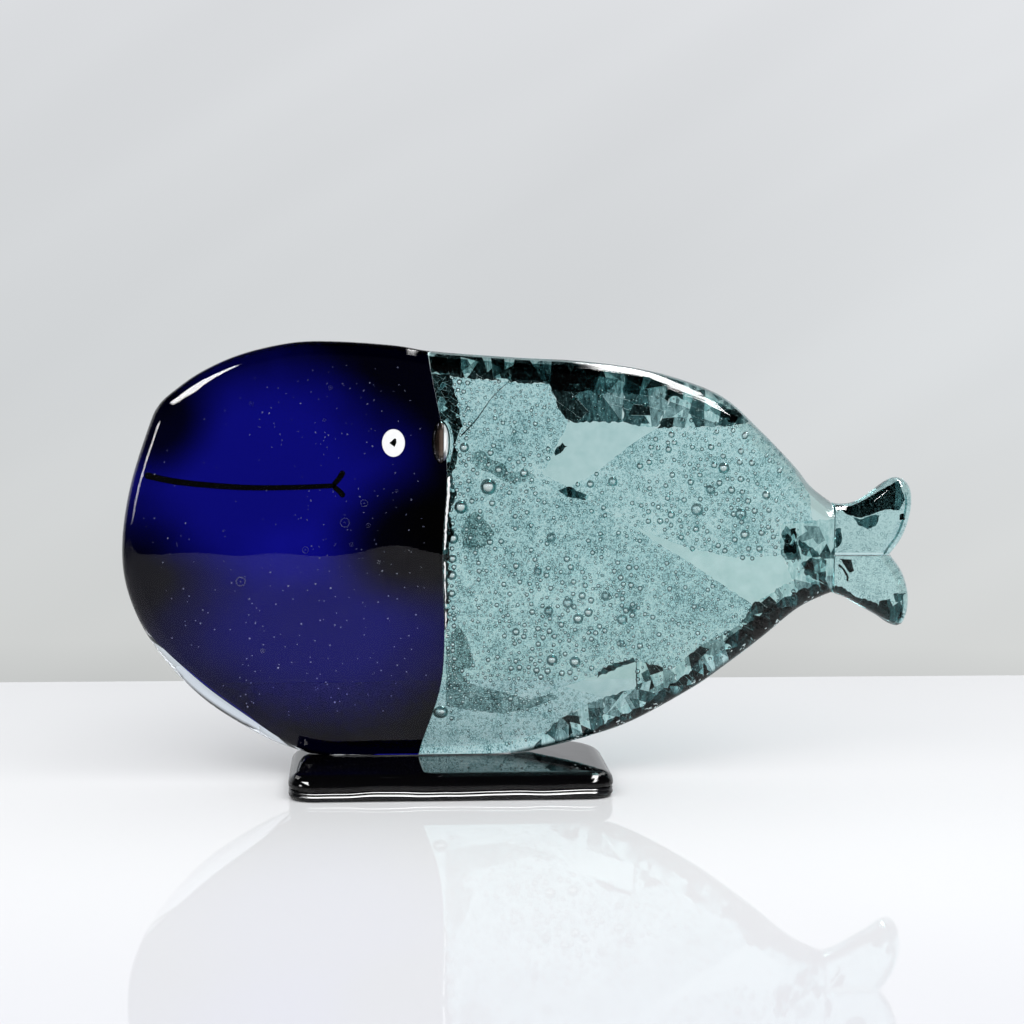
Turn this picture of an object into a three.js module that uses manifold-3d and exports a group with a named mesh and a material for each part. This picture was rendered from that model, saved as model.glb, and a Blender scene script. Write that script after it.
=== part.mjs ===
// Fused glass whale on a black glass base, in millimetres, +Z up.
// The origin is the middle of the base's underside. The head points along -X, the tail along +X,
// and the face with the eye and mouth looks along -Y.
import * as THREE from 'three';
import { mergeVertices } from 'three/addons/utils/BufferGeometryUtils.js';
import Module from 'manifold-3d';

const wasm = await Module();
wasm.setup();

// Black base slab
const BASE_LENGTH = 80;
const BASE_DEPTH = 45;
const BASE_THICKNESS = 6.5;
const BASE_FRONT_CORNER = 6;
const BASE_REAR_CORNER = 13;
const BASE_EDGE_ROUND = 2.6;

// Cured adhesive between the ground foot of the whale and the base
const BOND_THICKNESS = 0.3;
const BOND_LENGTH = 48;
const BOND_WIDTH = 6;
const BOND_OFFSET = -5;

// Whale slab: three sheets fused face to face, lengths measured from the seam of head and body
const SEAM_X = -1.6;
const WHALE_SETBACK = 5;
const SHEET_THICKNESS = 3;
const WHALE_HEIGHT = 104;
const HEAD_LENGTH = 80;
const BODY_LENGTH = 99.5;
const EDGE_ROUND = 4;
const SEAM_TOP_LEAN = 4;
const SEAM_FOOT_LEAN = 6;
const SEAM_SWELL = 0.8;

// Tail flukes, one piece above the other, butted against the end of the body
const FLUKE_LENGTH = 20.5;
const FLUKE_SEAM_HEIGHT = 50.3;
const UPPER_FLUKE_RISE = 19.8;
const LOWER_FLUKE_DROP = 18.6;
const FLUKE_EDGE_ROUND = 1.6;

// Eye and mouth, laid into the front sheet
const EYE_WIDTH = 5.8;
const EYE_HEIGHT = 7;
const EYE_FROM_SEAM = 12.4;
const EYE_ABOVE_FOOT = 78.8;
const PUPIL_WIDTH = 1.6;
const INLAY_DEPTH = 1.2;
const MOUTH_WIDTH = 1.3;
const MOUTH_LENGTH = 47;
const MOUTH_FROM_SEAM = 27;
const MOUTH_ABOVE_FOOT = 68;
const MOUTH_SAG = 0.8;
const MOUTH_NOSE_RISE = 2.7;
const FORK_REACH = 2.2;
const FORK_SPREAD = 2.9;

// Clear space at a fused joint between pieces of glass
const JOINT_GAP = 0.3;

// Facets round each curve
const OUTLINE_STEPS = 84;
const SEAM_STEPS = 21;
const FLUKE_STEPS = 16;
const ROUND_STEPS = 3;
const CORNER_STEPS = 6;
const OVAL_STEPS = 24;
const MOUTH_STEPS = 8;

// How far a cutting shape reaches past what it cuts
const OVERSIZE = 12;

const FOOT_Z = BASE_THICKNESS + BOND_THICKNESS;
const SLAB_THICKNESS = 3 * SHEET_THICKNESS;
const FRONT_Y = WHALE_SETBACK - SLAB_THICKNESS / 2;
const CORE_FRONT_Y = FRONT_Y + SHEET_THICKNESS;
const CORE_BACK_Y = CORE_FRONT_Y + SHEET_THICKNESS;
const BACK_Y = CORE_BACK_Y + SHEET_THICKNESS;

// Outline points as shares: [distance from the seam, height above the foot]
const HEAD_OUTLINE = [
  [0.15, -0.026], [0.35, -0.014], [0.45, 0.005], [0.563, 0.04], [0.729, 0.12], [0.846, 0.207],
  [0.935, 0.303], [0.99, 0.412], [1, 0.521], [0.972, 0.656], [0.912, 0.8], [0.884, 0.845],
  [0.846, 0.874], [0.753, 0.925], [0.629, 0.968], [0.474, 0.996], [0.336, 1], [0.15, 0.991],
  [0.03, 0.977],
];
const BACK_OUTLINE = [
  [0.188, 0.963], [0.338, 0.956], [0.488, 0.939], [0.601, 0.913], [0.715, 0.869], [0.811, 0.789],
  [0.9, 0.703], [0.945, 0.651], [1, 0.611],
];
const BELLY_OUTLINE = [
  [1, 0.388], [0.916, 0.349], [0.821, 0.275], [0.726, 0.206], [0.648, 0.154],
  [0.498, 0.075], [0.385, 0.036], [0.253, 0.004], [0.12, -0.02],
];

// Seam of head and body: [distance behind its straight middle, height above the foot as a share]
const SEAM_OUTLINE = [
  [-SEAM_FOOT_LEAN, 0], [0, 0.2], [0, 0.5], [SEAM_SWELL, 0.72], [-SEAM_TOP_LEAN, 0.98],
];

// Fluke outlines as shares: [distance behind the body, height from the seam between the flukes]
const UPPER_FLUKE_OUTLINE = [
  [0.74, 0], [0.89, 0.22], [0.985, 0.51], [1, 0.78], [0.93, 0.95], [0.8, 1], [0.65, 0.93],
  [0.5, 0.81], [0.34, 0.7], [0.15, 0.655], [-0.06, 0.68],
];
const LOWER_FLUKE_OUTLINE = [
  [0.74, 0], [0.82, 0.1], [0.92, 0.28], [0.985, 0.54], [0.975, 0.8], [0.89, 0.99], [0.75, 0.97],
  [0.6, 0.86], [0.39, 0.73], [0.18, 0.6], [-0.06, 0.51],
];

// Corners of the shards in the core layer, as shares of body length and whale height
const CORNER = {
  seamTop: [-0.09, 1.06],
  seamBand: [-0.09, 0.926],
  seamCrack: [-0.09, 0.759],
  seamMiddle: [-0.09, 0.662],
  seamKeel: [-0.09, 0.149],
  seamFoot: [-0.09, -0.06],
  topFront: [0.283, 1.06],
  topMiddle: [0.463, 1.06],
  topRear: [0.637, 1.02],
  shoulder: [0.93, 0.88],
  tailTop: [1.08, 0.76],
  crackTop: [0.164, 0.904],
  crackFoot: [0.049, 0.777],
  crownRear: [0.272, 0.899],
  crownSide: [0.319, 0.808],
  crownPoint: [0.252, 0.681],
  crownBottom: [0.149, 0.642],
  wedgeTop: [0.457, 0.806],
  wedgeRear: [0.547, 0.794],
  wedgeSide: [0.483, 0.757],
  wedgePoint: [0.319, 0.65],
  backChipEnd: [0.766, 0.799],
  flankTip: [0.483, 0.554],
  flankLow: [0.625, 0.501],
  flankMiddle: [0.75, 0.476],
  rootFront: [0.871, 0.481],
  rootTop: [0.864, 0.559],
  rootRear: [1.06, 0.575],
  rootLow: [0.902, 0.422],
  rootEnd: [0.92, 0.383],
  tailLow: [1.06, 0.39],
  clearTip: [0.797, 0.361],
  clearSide: [0.571, 0.501],
  splinterTop: [0.501, 0.222],
  splinterFront: [0.308, 0.159],
  splinterFoot: [0.499, 0.154],
  splinterLow: [0.416, 0.132],
  keelTop: [0.167, 0.149],
  keelMiddle: [0.182, 0.105],
  keelFoot: [0.164, -0.06],
  keelStep: [0.303, 0.081],
  keelEnd: [0.226, 0.01],
  footEnd: [0.226, -0.06],
  chipFoot: [0.406, -0.06],
  chipInnerFront: [0.589, 0.198],
  chipInnerMiddle: [0.663, 0.259],
  chipInnerRear: [0.766, 0.308],
  chipOuterFront: [0.676, 0.05],
  chipOuterMiddle: [0.869, 0.2],
  chipOuterRear: [1.06, 0.3],
};

// Each shard names its corners in turn round its border
const SHARDS = {
  top_chip_front: ['seamTop', 'topFront', 'crownRear', 'crackTop', 'seamBand'],
  top_chip_middle: ['topFront', 'topMiddle', 'wedgeTop', 'crownSide', 'crownRear'],
  top_chip_rear: ['topMiddle', 'topRear', 'wedgeRear', 'wedgeTop'],
  back_chip: ['topRear', 'shoulder', 'backChipEnd', 'wedgeRear'],
  crown_shard_front: ['seamBand', 'crackTop', 'crackFoot', 'seamCrack'],
  crown_shard_rear: ['crackTop', 'crownRear', 'crownSide', 'crownPoint', 'crownBottom',
    'seamMiddle', 'seamCrack', 'crackFoot'],
  upper_clear_wedge: ['crownSide', 'wedgeTop', 'wedgeRear', 'wedgeSide', 'wedgePoint', 'crownPoint'],
  flank_shard: ['wedgeRear', 'backChipEnd', 'shoulder', 'tailTop', 'rootRear', 'rootTop',
    'rootFront', 'flankMiddle', 'flankLow', 'flankTip', 'wedgePoint', 'wedgeSide'],
  middle_clear_wedge: ['flankTip', 'flankLow', 'flankMiddle', 'rootFront', 'rootLow', 'clearTip',
    'clearSide'],
  belly_shard: ['seamMiddle', 'crownBottom', 'crownPoint', 'wedgePoint', 'flankTip', 'clearSide',
    'clearTip', 'chipInnerRear', 'chipInnerMiddle', 'chipInnerFront', 'splinterTop',
    'splinterFront', 'keelTop', 'seamKeel'],
  lower_clear_wedge: ['splinterFront', 'splinterTop', 'splinterFoot', 'splinterLow'],
  keel_shard_front: ['seamKeel', 'keelTop', 'keelMiddle', 'keelFoot', 'seamFoot'],
  keel_shard_rear: ['keelTop', 'splinterFront', 'splinterLow', 'keelStep', 'keelEnd', 'footEnd',
    'keelFoot', 'keelMiddle'],
  lower_chip_foot: ['keelEnd', 'keelStep', 'splinterLow', 'chipFoot', 'footEnd'],
  lower_chip_front: ['splinterLow', 'splinterFoot', 'splinterTop', 'chipInnerFront',
    'chipOuterFront', 'chipFoot'],
  lower_chip_middle: ['chipInnerFront', 'chipInnerMiddle', 'chipInnerRear', 'chipOuterMiddle',
    'chipOuterFront'],
  lower_chip_rear: ['chipInnerRear', 'clearTip', 'rootLow', 'rootEnd', 'tailLow',
    'chipOuterRear', 'chipOuterMiddle'],
  tail_root_chip: ['rootTop', 'rootRear', 'tailLow', 'rootEnd', 'rootLow', 'rootFront'],
};
const CLEAR_SHARDS = ['upper_clear_wedge', 'middle_clear_wedge', 'lower_clear_wedge'];

const GLASS_ROUGHNESS = 0.05;
const COLOUR = {
  black: 0x08080a,
  bond: 0xe8eef0,
  cobalt: 0x10107a,
  white: 0xf2f2f2,
  aqua: 0x9cc4c4,
  bubbled: 0x8fb6b6,
  clear: 0xbcdcd9,
};

function solid(geometry) {
  geometry.deleteAttribute('normal');
  geometry.deleteAttribute('uv');
  const merged = mergeVertices(geometry);
  return new wasm.Manifold(new wasm.Mesh({
    numProp: 3,
    vertProperties: new Float32Array(merged.attributes.position.array),
    triVerts: new Uint32Array(merged.index.array),
  }));
}

function named(name, body, colour) {
  const { vertProperties, triVerts } = body.getMesh();
  const geometry = new THREE.BufferGeometry();
  geometry.setAttribute('position', new THREE.BufferAttribute(new Float32Array(vertProperties), 3));
  geometry.setIndex(new THREE.BufferAttribute(new Uint32Array(triVerts), 1));
  geometry.computeVertexNormals();
  const material = new THREE.MeshStandardMaterial({
    color: colour, roughness: GLASS_ROUGHNESS, metalness: 0,
  });
  const mesh = new THREE.Mesh(geometry, material);
  mesh.name = name;
  return mesh;
}

// Turns a plate drawn in X and Z, extruded from 0 to its depth, to lie between two Y values
function stand(geometry, lowY, highY) {
  geometry.rotateX(Math.PI / 2);
  geometry.translate(0, highY, 0);
  return solid(geometry);
}

function prism(points, lowY, highY) {
  const plate = new THREE.ExtrudeGeometry(new THREE.Shape(points), {
    depth: highY - lowY, bevelEnabled: false,
  });
  return stand(plate, lowY, highY);
}

// Plate of the full slab thickness, with its rims rounded as fire polishing leaves them
function roundedSlab(points, round) {
  const plate = new THREE.ExtrudeGeometry(new THREE.Shape(points), {
    depth: SHEET_THICKNESS,
    bevelThickness: SHEET_THICKNESS,
    bevelSize: round,
    bevelOffset: -round,
    bevelSegments: ROUND_STEPS,
  });
  plate.translate(0, 0, SHEET_THICKNESS);
  return stand(plate, FRONT_Y, BACK_Y);
}

function block(low, high) {
  const size = high.map((value, i) => value - low[i]);
  const box = new THREE.BoxGeometry(...size);
  box.translate(...low.map((value, i) => value + size[i] / 2));
  return solid(box);
}

const heightZ = (share) => FOOT_Z + share * WHALE_HEIGHT;
const headPoint = ([along, up]) => new THREE.Vector2(SEAM_X - along * HEAD_LENGTH, heightZ(up));
const bodyPoint = ([along, up]) => new THREE.Vector2(SEAM_X + along * BODY_LENGTH, heightZ(up));

// Moves every side of a border inwards by the same distance
function shrink(points, distance) {
  const turn = THREE.ShapeUtils.isClockWise(points) ? -1 : 1;
  return points.map((point, i) => {
    const before = points.at(i - 1);
    const after = points[(i + 1) % points.length];
    const inSide = point.clone().sub(before).normalize();
    const outSide = after.clone().sub(point).normalize();
    const inNormal = new THREE.Vector2(-inSide.y, inSide.x).multiplyScalar(turn);
    const outNormal = new THREE.Vector2(-outSide.y, outSide.x).multiplyScalar(turn);
    const reach = distance / (1 + inNormal.dot(outNormal));
    return point.clone().add(inNormal.add(outNormal).multiplyScalar(reach));
  });
}

// Flat strip of even width along a line, with its two ends carried on by a margin
function strip(line, width, margin = 0) {
  const path = line.map((point) => point.clone());
  const startTurn = path[0].clone().sub(path[1]).setLength(margin);
  const endTurn = path.at(-1).clone().sub(path.at(-2)).setLength(margin);
  path[0].add(startTurn);
  path.at(-1).add(endTurn);
  const sides = path.map((point, i) => {
    const before = path[Math.max(i - 1, 0)];
    const after = path[Math.min(i + 1, path.length - 1)];
    const run = after.clone().sub(before).normalize();
    return new THREE.Vector2(-run.y, run.x).multiplyScalar(width / 2);
  });
  const upper = path.map((point, i) => point.clone().add(sides[i]));
  const lower = path.map((point, i) => point.clone().sub(sides[i]));
  return [...upper, ...lower.reverse()];
}

const WEST = SEAM_X - HEAD_LENGTH - OVERSIZE;
const EAST = SEAM_X + BODY_LENGTH + FLUKE_LENGTH + OVERSIZE;
const LOW = FOOT_Z - OVERSIZE;
const HIGH = FOOT_Z + WHALE_HEIGHT + OVERSIZE;
const TAIL_JOINT_X = SEAM_X + BODY_LENGTH;
const aboveFoot = block([WEST, FRONT_Y - OVERSIZE, FOOT_Z], [EAST, BACK_Y + OVERSIZE, HIGH]);

// Head and body share one rounded slab, which the seam and the sheets then divide
const whaleLine = new THREE.SplineCurve([
  ...BELLY_OUTLINE.map(bodyPoint),
  ...HEAD_OUTLINE.map(headPoint),
  ...BACK_OUTLINE.map(bodyPoint),
]);
const whaleRim = whaleLine.getPoints(OUTLINE_STEPS);
const pastTail = (point) => new THREE.Vector2(TAIL_JOINT_X + OVERSIZE, point.y);
const whaleBorder = [pastTail(whaleRim[0]), ...whaleRim, pastTail(whaleRim.at(-1))];
const whaleSlab = roundedSlab(whaleBorder, EDGE_ROUND).intersect(aboveFoot);

const seamLine = new THREE.SplineCurve([
  new THREE.Vector2(SEAM_X - SEAM_FOOT_LEAN, LOW),
  ...SEAM_OUTLINE.map(([behind, up]) => new THREE.Vector2(SEAM_X + behind, heightZ(up))),
  new THREE.Vector2(SEAM_X - SEAM_TOP_LEAN, HIGH),
]).getPoints(SEAM_STEPS);
const seamBeside = (offset) => seamLine.map((point) => new THREE.Vector2(point.x + offset, point.y));
const headBorder = [
  ...seamBeside(-JOINT_GAP / 2), new THREE.Vector2(WEST, HIGH), new THREE.Vector2(WEST, LOW),
];
const bodyEnd = TAIL_JOINT_X - JOINT_GAP / 2;
const bodyBorder = [
  ...seamBeside(JOINT_GAP / 2), new THREE.Vector2(bodyEnd, HIGH), new THREE.Vector2(bodyEnd, LOW),
];

const headSheet = (lowY, highY) => whaleSlab.intersect(prism(headBorder, lowY, highY));
const bodySheet = (lowY, highY) => whaleSlab.intersect(prism(bodyBorder, lowY, highY));

function makeBase() {
  const x = BASE_LENGTH / 2;
  const y = BASE_DEPTH / 2;
  const plan = new THREE.Shape();
  plan.absarc(x - BASE_FRONT_CORNER, -y + BASE_FRONT_CORNER, BASE_FRONT_CORNER, -Math.PI / 2, 0);
  plan.absarc(x - BASE_REAR_CORNER, y - BASE_REAR_CORNER, BASE_REAR_CORNER, 0, Math.PI / 2);
  plan.absarc(-x + BASE_REAR_CORNER, y - BASE_REAR_CORNER, BASE_REAR_CORNER, Math.PI / 2, Math.PI);
  plan.absarc(-x + BASE_FRONT_CORNER, -y + BASE_FRONT_CORNER, BASE_FRONT_CORNER, Math.PI, 1.5 * Math.PI);
  const slab = new THREE.ExtrudeGeometry(plan, {
    depth: BASE_THICKNESS - 2 * BASE_EDGE_ROUND,
    bevelThickness: BASE_EDGE_ROUND,
    bevelSize: BASE_EDGE_ROUND,
    bevelOffset: -BASE_EDGE_ROUND,
    bevelSegments: ROUND_STEPS,
    curveSegments: CORNER_STEPS,
  });
  slab.translate(0, 0, BASE_EDGE_ROUND);
  return named('base_plate', solid(slab), COLOUR.black);
}

function makeBond() {
  const middleX = SEAM_X + BOND_OFFSET;
  const film = block(
    [middleX - BOND_LENGTH / 2, WHALE_SETBACK - BOND_WIDTH / 2, BASE_THICKNESS],
    [middleX + BOND_LENGTH / 2, WHALE_SETBACK + BOND_WIDTH / 2, FOOT_Z],
  );
  return named('bond_film', film, COLOUR.bond);
}

function oval(width, height) {
  const centre = new THREE.Vector2(SEAM_X - EYE_FROM_SEAM, FOOT_Z + EYE_ABOVE_FOOT);
  const ring = new THREE.EllipseCurve(centre.x, centre.y, width / 2, height / 2).getPoints(OVAL_STEPS);
  return ring.slice(0, -1);
}

// The mouth is a line from the fork, a little sagged, rising towards the nose
const mouthZ = FOOT_Z + MOUTH_ABOVE_FOOT;
const forkX = SEAM_X - MOUTH_FROM_SEAM;
const mouthLine = new THREE.QuadraticBezierCurve(
  new THREE.Vector2(forkX, mouthZ),
  new THREE.Vector2(forkX - MOUTH_LENGTH / 2, mouthZ - 2 * MOUTH_SAG),
  new THREE.Vector2(forkX - MOUTH_LENGTH, mouthZ + MOUTH_NOSE_RISE),
).getPoints(MOUTH_STEPS);
const forkArm = (side) => {
  const start = JOINT_GAP + MOUTH_WIDTH / 2;
  return [
    new THREE.Vector2(forkX + start / 2, mouthZ + side * (start + MOUTH_WIDTH / 2)),
    new THREE.Vector2(forkX + FORK_REACH, mouthZ + side * (FORK_SPREAD + MOUTH_WIDTH / 2)),
  ];
};
const INLAY_LINES = {
  mouth_line: mouthLine,
  mouth_fork_upper: forkArm(1),
  mouth_fork_lower: forkArm(-1),
};

function inlay(points) {
  return whaleSlab.intersect(prism(points, FRONT_Y, FRONT_Y + INLAY_DEPTH));
}

function makeFace() {
  const pupil = inlay(oval(PUPIL_WIDTH, PUPIL_WIDTH));
  const pupilHole = PUPIL_WIDTH + 2 * JOINT_GAP;
  const white = inlay(oval(EYE_WIDTH, EYE_HEIGHT)).subtract(inlay(oval(pupilHole, pupilHole)));
  const pieces = [named('eye_white', white, COLOUR.white), named('eye_pupil', pupil, COLOUR.black)];
  for (const [name, line] of Object.entries(INLAY_LINES)) {
    pieces.push(named(name, inlay(strip(line, MOUTH_WIDTH)), COLOUR.black));
  }
  return pieces;
}

function makeHead() {
  const gapAround = 2 * JOINT_GAP;
  let front = headSheet(FRONT_Y, CORE_FRONT_Y);
  front = front.subtract(inlay(oval(EYE_WIDTH + gapAround, EYE_HEIGHT + gapAround)));
  for (const line of Object.values(INLAY_LINES)) {
    front = front.subtract(inlay(strip(line, MOUTH_WIDTH + gapAround, JOINT_GAP)));
  }
  return [
    named('head_front_sheet', front, COLOUR.cobalt),
    named('head_core_sheet', headSheet(CORE_FRONT_Y, CORE_BACK_Y), COLOUR.cobalt),
    named('head_back_sheet', headSheet(CORE_BACK_Y, BACK_Y), COLOUR.cobalt),
  ];
}

function makeBody() {
  const core = bodySheet(CORE_FRONT_Y, CORE_BACK_Y);
  const pieces = [
    named('body_front_sheet', bodySheet(FRONT_Y, CORE_FRONT_Y), COLOUR.aqua),
    named('body_back_sheet', bodySheet(CORE_BACK_Y, BACK_Y), COLOUR.aqua),
  ];
  for (const [name, corners] of Object.entries(SHARDS)) {
    const border = corners.map((corner) => bodyPoint(CORNER[corner]));
    const shard = core.intersect(prism(shrink(border, JOINT_GAP / 2), CORE_FRONT_Y, CORE_BACK_Y));
    const colour = CLEAR_SHARDS.includes(name) ? COLOUR.clear : COLOUR.bubbled;
    pieces.push(named(name, shard, colour));
  }
  return pieces;
}

function makeFluke(name, outline, reach, side) {
  const seamZ = FOOT_Z + FLUKE_SEAM_HEIGHT;
  const flukePoint = ([along, up]) => new THREE.Vector2(
    TAIL_JOINT_X + along * FLUKE_LENGTH, seamZ + side * up * reach,
  );
  const rim = new THREE.SplineCurve(outline.map(flukePoint)).getPoints(FLUKE_STEPS);
  const far = TAIL_JOINT_X - OVERSIZE;
  const innerZ = seamZ - side * OVERSIZE;
  const border = [
    new THREE.Vector2(rim[0].x, innerZ), ...rim,
    new THREE.Vector2(far, rim.at(-1).y), new THREE.Vector2(far, innerZ),
  ];
  const slab = roundedSlab(border, FLUKE_EDGE_ROUND);
  const nearZ = seamZ + side * JOINT_GAP / 2;
  const farZ = seamZ + side * (reach + OVERSIZE);
  const room = block(
    [TAIL_JOINT_X + JOINT_GAP / 2, FRONT_Y, Math.min(nearZ, farZ)],
    [EAST, BACK_Y, Math.max(nearZ, farZ)],
  );
  return named(name, slab.intersect(room), COLOUR.aqua);
}

const whale = new THREE.Group();
whale.add(
  makeBase(),
  makeBond(),
  ...makeHead(),
  ...makeFace(),
  ...makeBody(),
  makeFluke('upper_fluke', UPPER_FLUKE_OUTLINE, UPPER_FLUKE_RISE, 1),
  makeFluke('lower_fluke', LOWER_FLUKE_OUTLINE, LOWER_FLUKE_DROP, -1),
);

export default whale;
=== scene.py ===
"""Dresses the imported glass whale: fused glass pieces, inlays, base and a pale studio stage."""

import math
import random
from functools import partial

import bpy
import numpy as np
from mathutils import Matrix, Vector


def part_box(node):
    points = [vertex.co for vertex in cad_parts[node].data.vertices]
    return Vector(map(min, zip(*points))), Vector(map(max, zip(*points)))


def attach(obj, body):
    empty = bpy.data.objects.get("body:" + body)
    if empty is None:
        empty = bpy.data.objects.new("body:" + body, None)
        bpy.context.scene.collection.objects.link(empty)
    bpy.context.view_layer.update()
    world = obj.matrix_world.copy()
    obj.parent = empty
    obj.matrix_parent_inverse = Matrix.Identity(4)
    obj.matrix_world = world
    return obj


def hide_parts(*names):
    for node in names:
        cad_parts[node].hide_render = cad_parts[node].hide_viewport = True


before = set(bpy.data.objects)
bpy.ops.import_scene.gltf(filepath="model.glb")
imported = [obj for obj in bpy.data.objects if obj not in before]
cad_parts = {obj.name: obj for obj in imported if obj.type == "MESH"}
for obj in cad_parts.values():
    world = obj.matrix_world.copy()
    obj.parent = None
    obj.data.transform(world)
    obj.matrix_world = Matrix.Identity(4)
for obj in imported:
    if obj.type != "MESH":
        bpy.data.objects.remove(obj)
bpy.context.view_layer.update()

bl_info = {
    "name": "Fused glass whale",
    "version": (1, 0, 0),
    "blender": (4, 5, 0),
    "location": "View3D > Sidebar > Whale",
    "description": "Models the pieces of a fused glass whale around its CAD frame",
    "category": "Add Mesh",
}

MM = 0.001

# The whale's proportions
SEAM_X = -1.6 * MM
WHALE_HEIGHT = 104 * MM
HEAD_LENGTH = 80 * MM
BODY_LENGTH = 99.5 * MM
SEAM_TOP_LEAN = 4 * MM
SEAM_FOOT_LEAN = 6 * MM
SEAM_SWELL = 0.8 * MM
FLUKE_LENGTH = 20.5 * MM
FLUKE_SEAM_HEIGHT = 50.3 * MM
UPPER_FLUKE_RISE = 19.8 * MM
LOWER_FLUKE_DROP = 18.6 * MM
JOINT_GAP = 0.3 * MM

# Places taken from the CAD frame
FOOT_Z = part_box("bond_film")[1].z
FRONT_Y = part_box("head_front_sheet")[0].y
BACK_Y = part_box("head_back_sheet")[1].y
MIDDLE_Y = (FRONT_Y + BACK_Y) / 2
HALF_SLAB = (BACK_Y - FRONT_Y) / 2
INLAY_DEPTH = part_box("eye_white")[1].y - FRONT_Y
TAIL_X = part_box("upper_fluke")[0].x - JOINT_GAP / 2
FLUKE_SEAM_Z = FOOT_Z + FLUKE_SEAM_HEIGHT

# Modelling: how far tools and outlines run past a cut, how finely outlines are drawn, and where
# a slab's flat face starts as a share of its rounding
OVERSIZE = 12 * MM
TOOL_REACH = 200 * MM
TOOL_CLEARANCE = 5 * MM
SLAB_INSET = 0.05 * MM
SLAB_SPACING = 1.2 * MM
FLUKE_SPACING = 1 * MM
FACE_START = 1.09
END_STEPS = 8
DRAW_STEP = 0.25 * MM
SLIDE_PASSES = 4
SLIDE_SHARE = 0.5
MERGE_DISTANCE = 1e-6
CUT_TOLERANCE = 1e-7

# Gaps that keep neighbouring pieces apart
SEAM_GAP = 0.02 * MM
CORE_SEAM_GAP = 0.03 * MM
SHARD_SEAM_GAP = 0.1 * MM
LIP_GAP = 0.02 * MM
CORE_LIP_GAP = 0.1 * MM
FOOT_GAP = 0.1 * MM
SHARD_TAIL_GAP = 0.2 * MM
FLUKE_SHEET_GAP = 0.4 * MM
BUBBLE_GAP = 0.05 * MM
BUBBLE_SEAM_GAP = 0.2 * MM
LARGE_BUBBLE_RIM = 2 * MM
SMALL_BUBBLE_RIM = 2.5 * MM

# Insets from the rim, and depths from the slab's middle or front, of what lies in the glass
FILM_HALF = 0.4 * MM
FILM_BACK_EASE = 0.1 * MM
FILM_INSET = 1.1 * MM
FILM_STEP = 0.03 * MM
FILM_STEPS = 5
CORE_INSET = 0.5 * MM
CORE_REACH = 40 * MM
CHIP_INSET = 1.7 * MM
CHIP_DEPTH = 0.1 * MM
BREAK_INSET, OUTER_BREAK_INSET = 2 * MM, 0.8 * MM
BREAK_DEPTH, OUTER_BREAK_DEPTH = -1 * MM, -2.2 * MM
DUSKY_DEPTH = -0.7 * MM
CRACK_DEPTHS = (-0.8 * MM, -0.6 * MM)
CRUMB_DEPTH = 0.23 * MM
HAZE_INSET = 1.4 * MM
HAZE_DEPTHS = (0.5 * MM, 0.8 * MM)
FLUKE_CHIP_DEPTH = -1.8 * MM
SOFT_BUBBLE_DEPTH = 1.2 * MM
SOFT_BUBBLE_MOST = 1.3 * MM
PLUG_SHARE = 0.97
PLUG_HALF = 3 * MM

# Outline points as shares: (distance from the seam, height above the foot)
HEAD_OUTLINE = (
    (0.15, -0.026), (0.35, -0.014), (0.45, 0.005), (0.563, 0.04), (0.729, 0.12), (0.846, 0.207),
    (0.935, 0.303), (0.99, 0.412), (1, 0.521), (0.972, 0.656), (0.912, 0.8), (0.884, 0.845),
    (0.846, 0.874), (0.753, 0.925), (0.629, 0.968), (0.474, 0.996), (0.336, 1), (0.15, 0.991),
    (0.03, 0.977),
)
BACK_OUTLINE = (
    (0.188, 0.963), (0.338, 0.956), (0.488, 0.939), (0.601, 0.913), (0.715, 0.869), (0.811, 0.789),
    (0.9, 0.703), (0.945, 0.651), (1, 0.611),
)
BELLY_OUTLINE = (
    (1, 0.388), (0.916, 0.349), (0.821, 0.275), (0.726, 0.206), (0.648, 0.154),
    (0.498, 0.075), (0.385, 0.036), (0.253, 0.004), (0.12, -0.02),
)
SEAM_OUTLINE = (
    (-SEAM_FOOT_LEAN, 0), (0, 0.2), (0, 0.5), (SEAM_SWELL, 0.72), (-SEAM_TOP_LEAN, 0.98),
)
UPPER_FLUKE_OUTLINE = (
    (0.74, 0), (0.89, 0.22), (0.985, 0.51), (1, 0.78), (0.93, 0.95), (0.8, 1), (0.65, 0.93),
    (0.5, 0.81), (0.34, 0.7), (0.15, 0.655), (-0.06, 0.68),
)
LOWER_FLUKE_OUTLINE = (
    (0.74, 0), (0.82, 0.1), (0.92, 0.28), (0.985, 0.54), (0.975, 0.8), (0.89, 0.99), (0.75, 0.97),
    (0.6, 0.86), (0.39, 0.73), (0.18, 0.6), (-0.06, 0.51),
)

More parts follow.
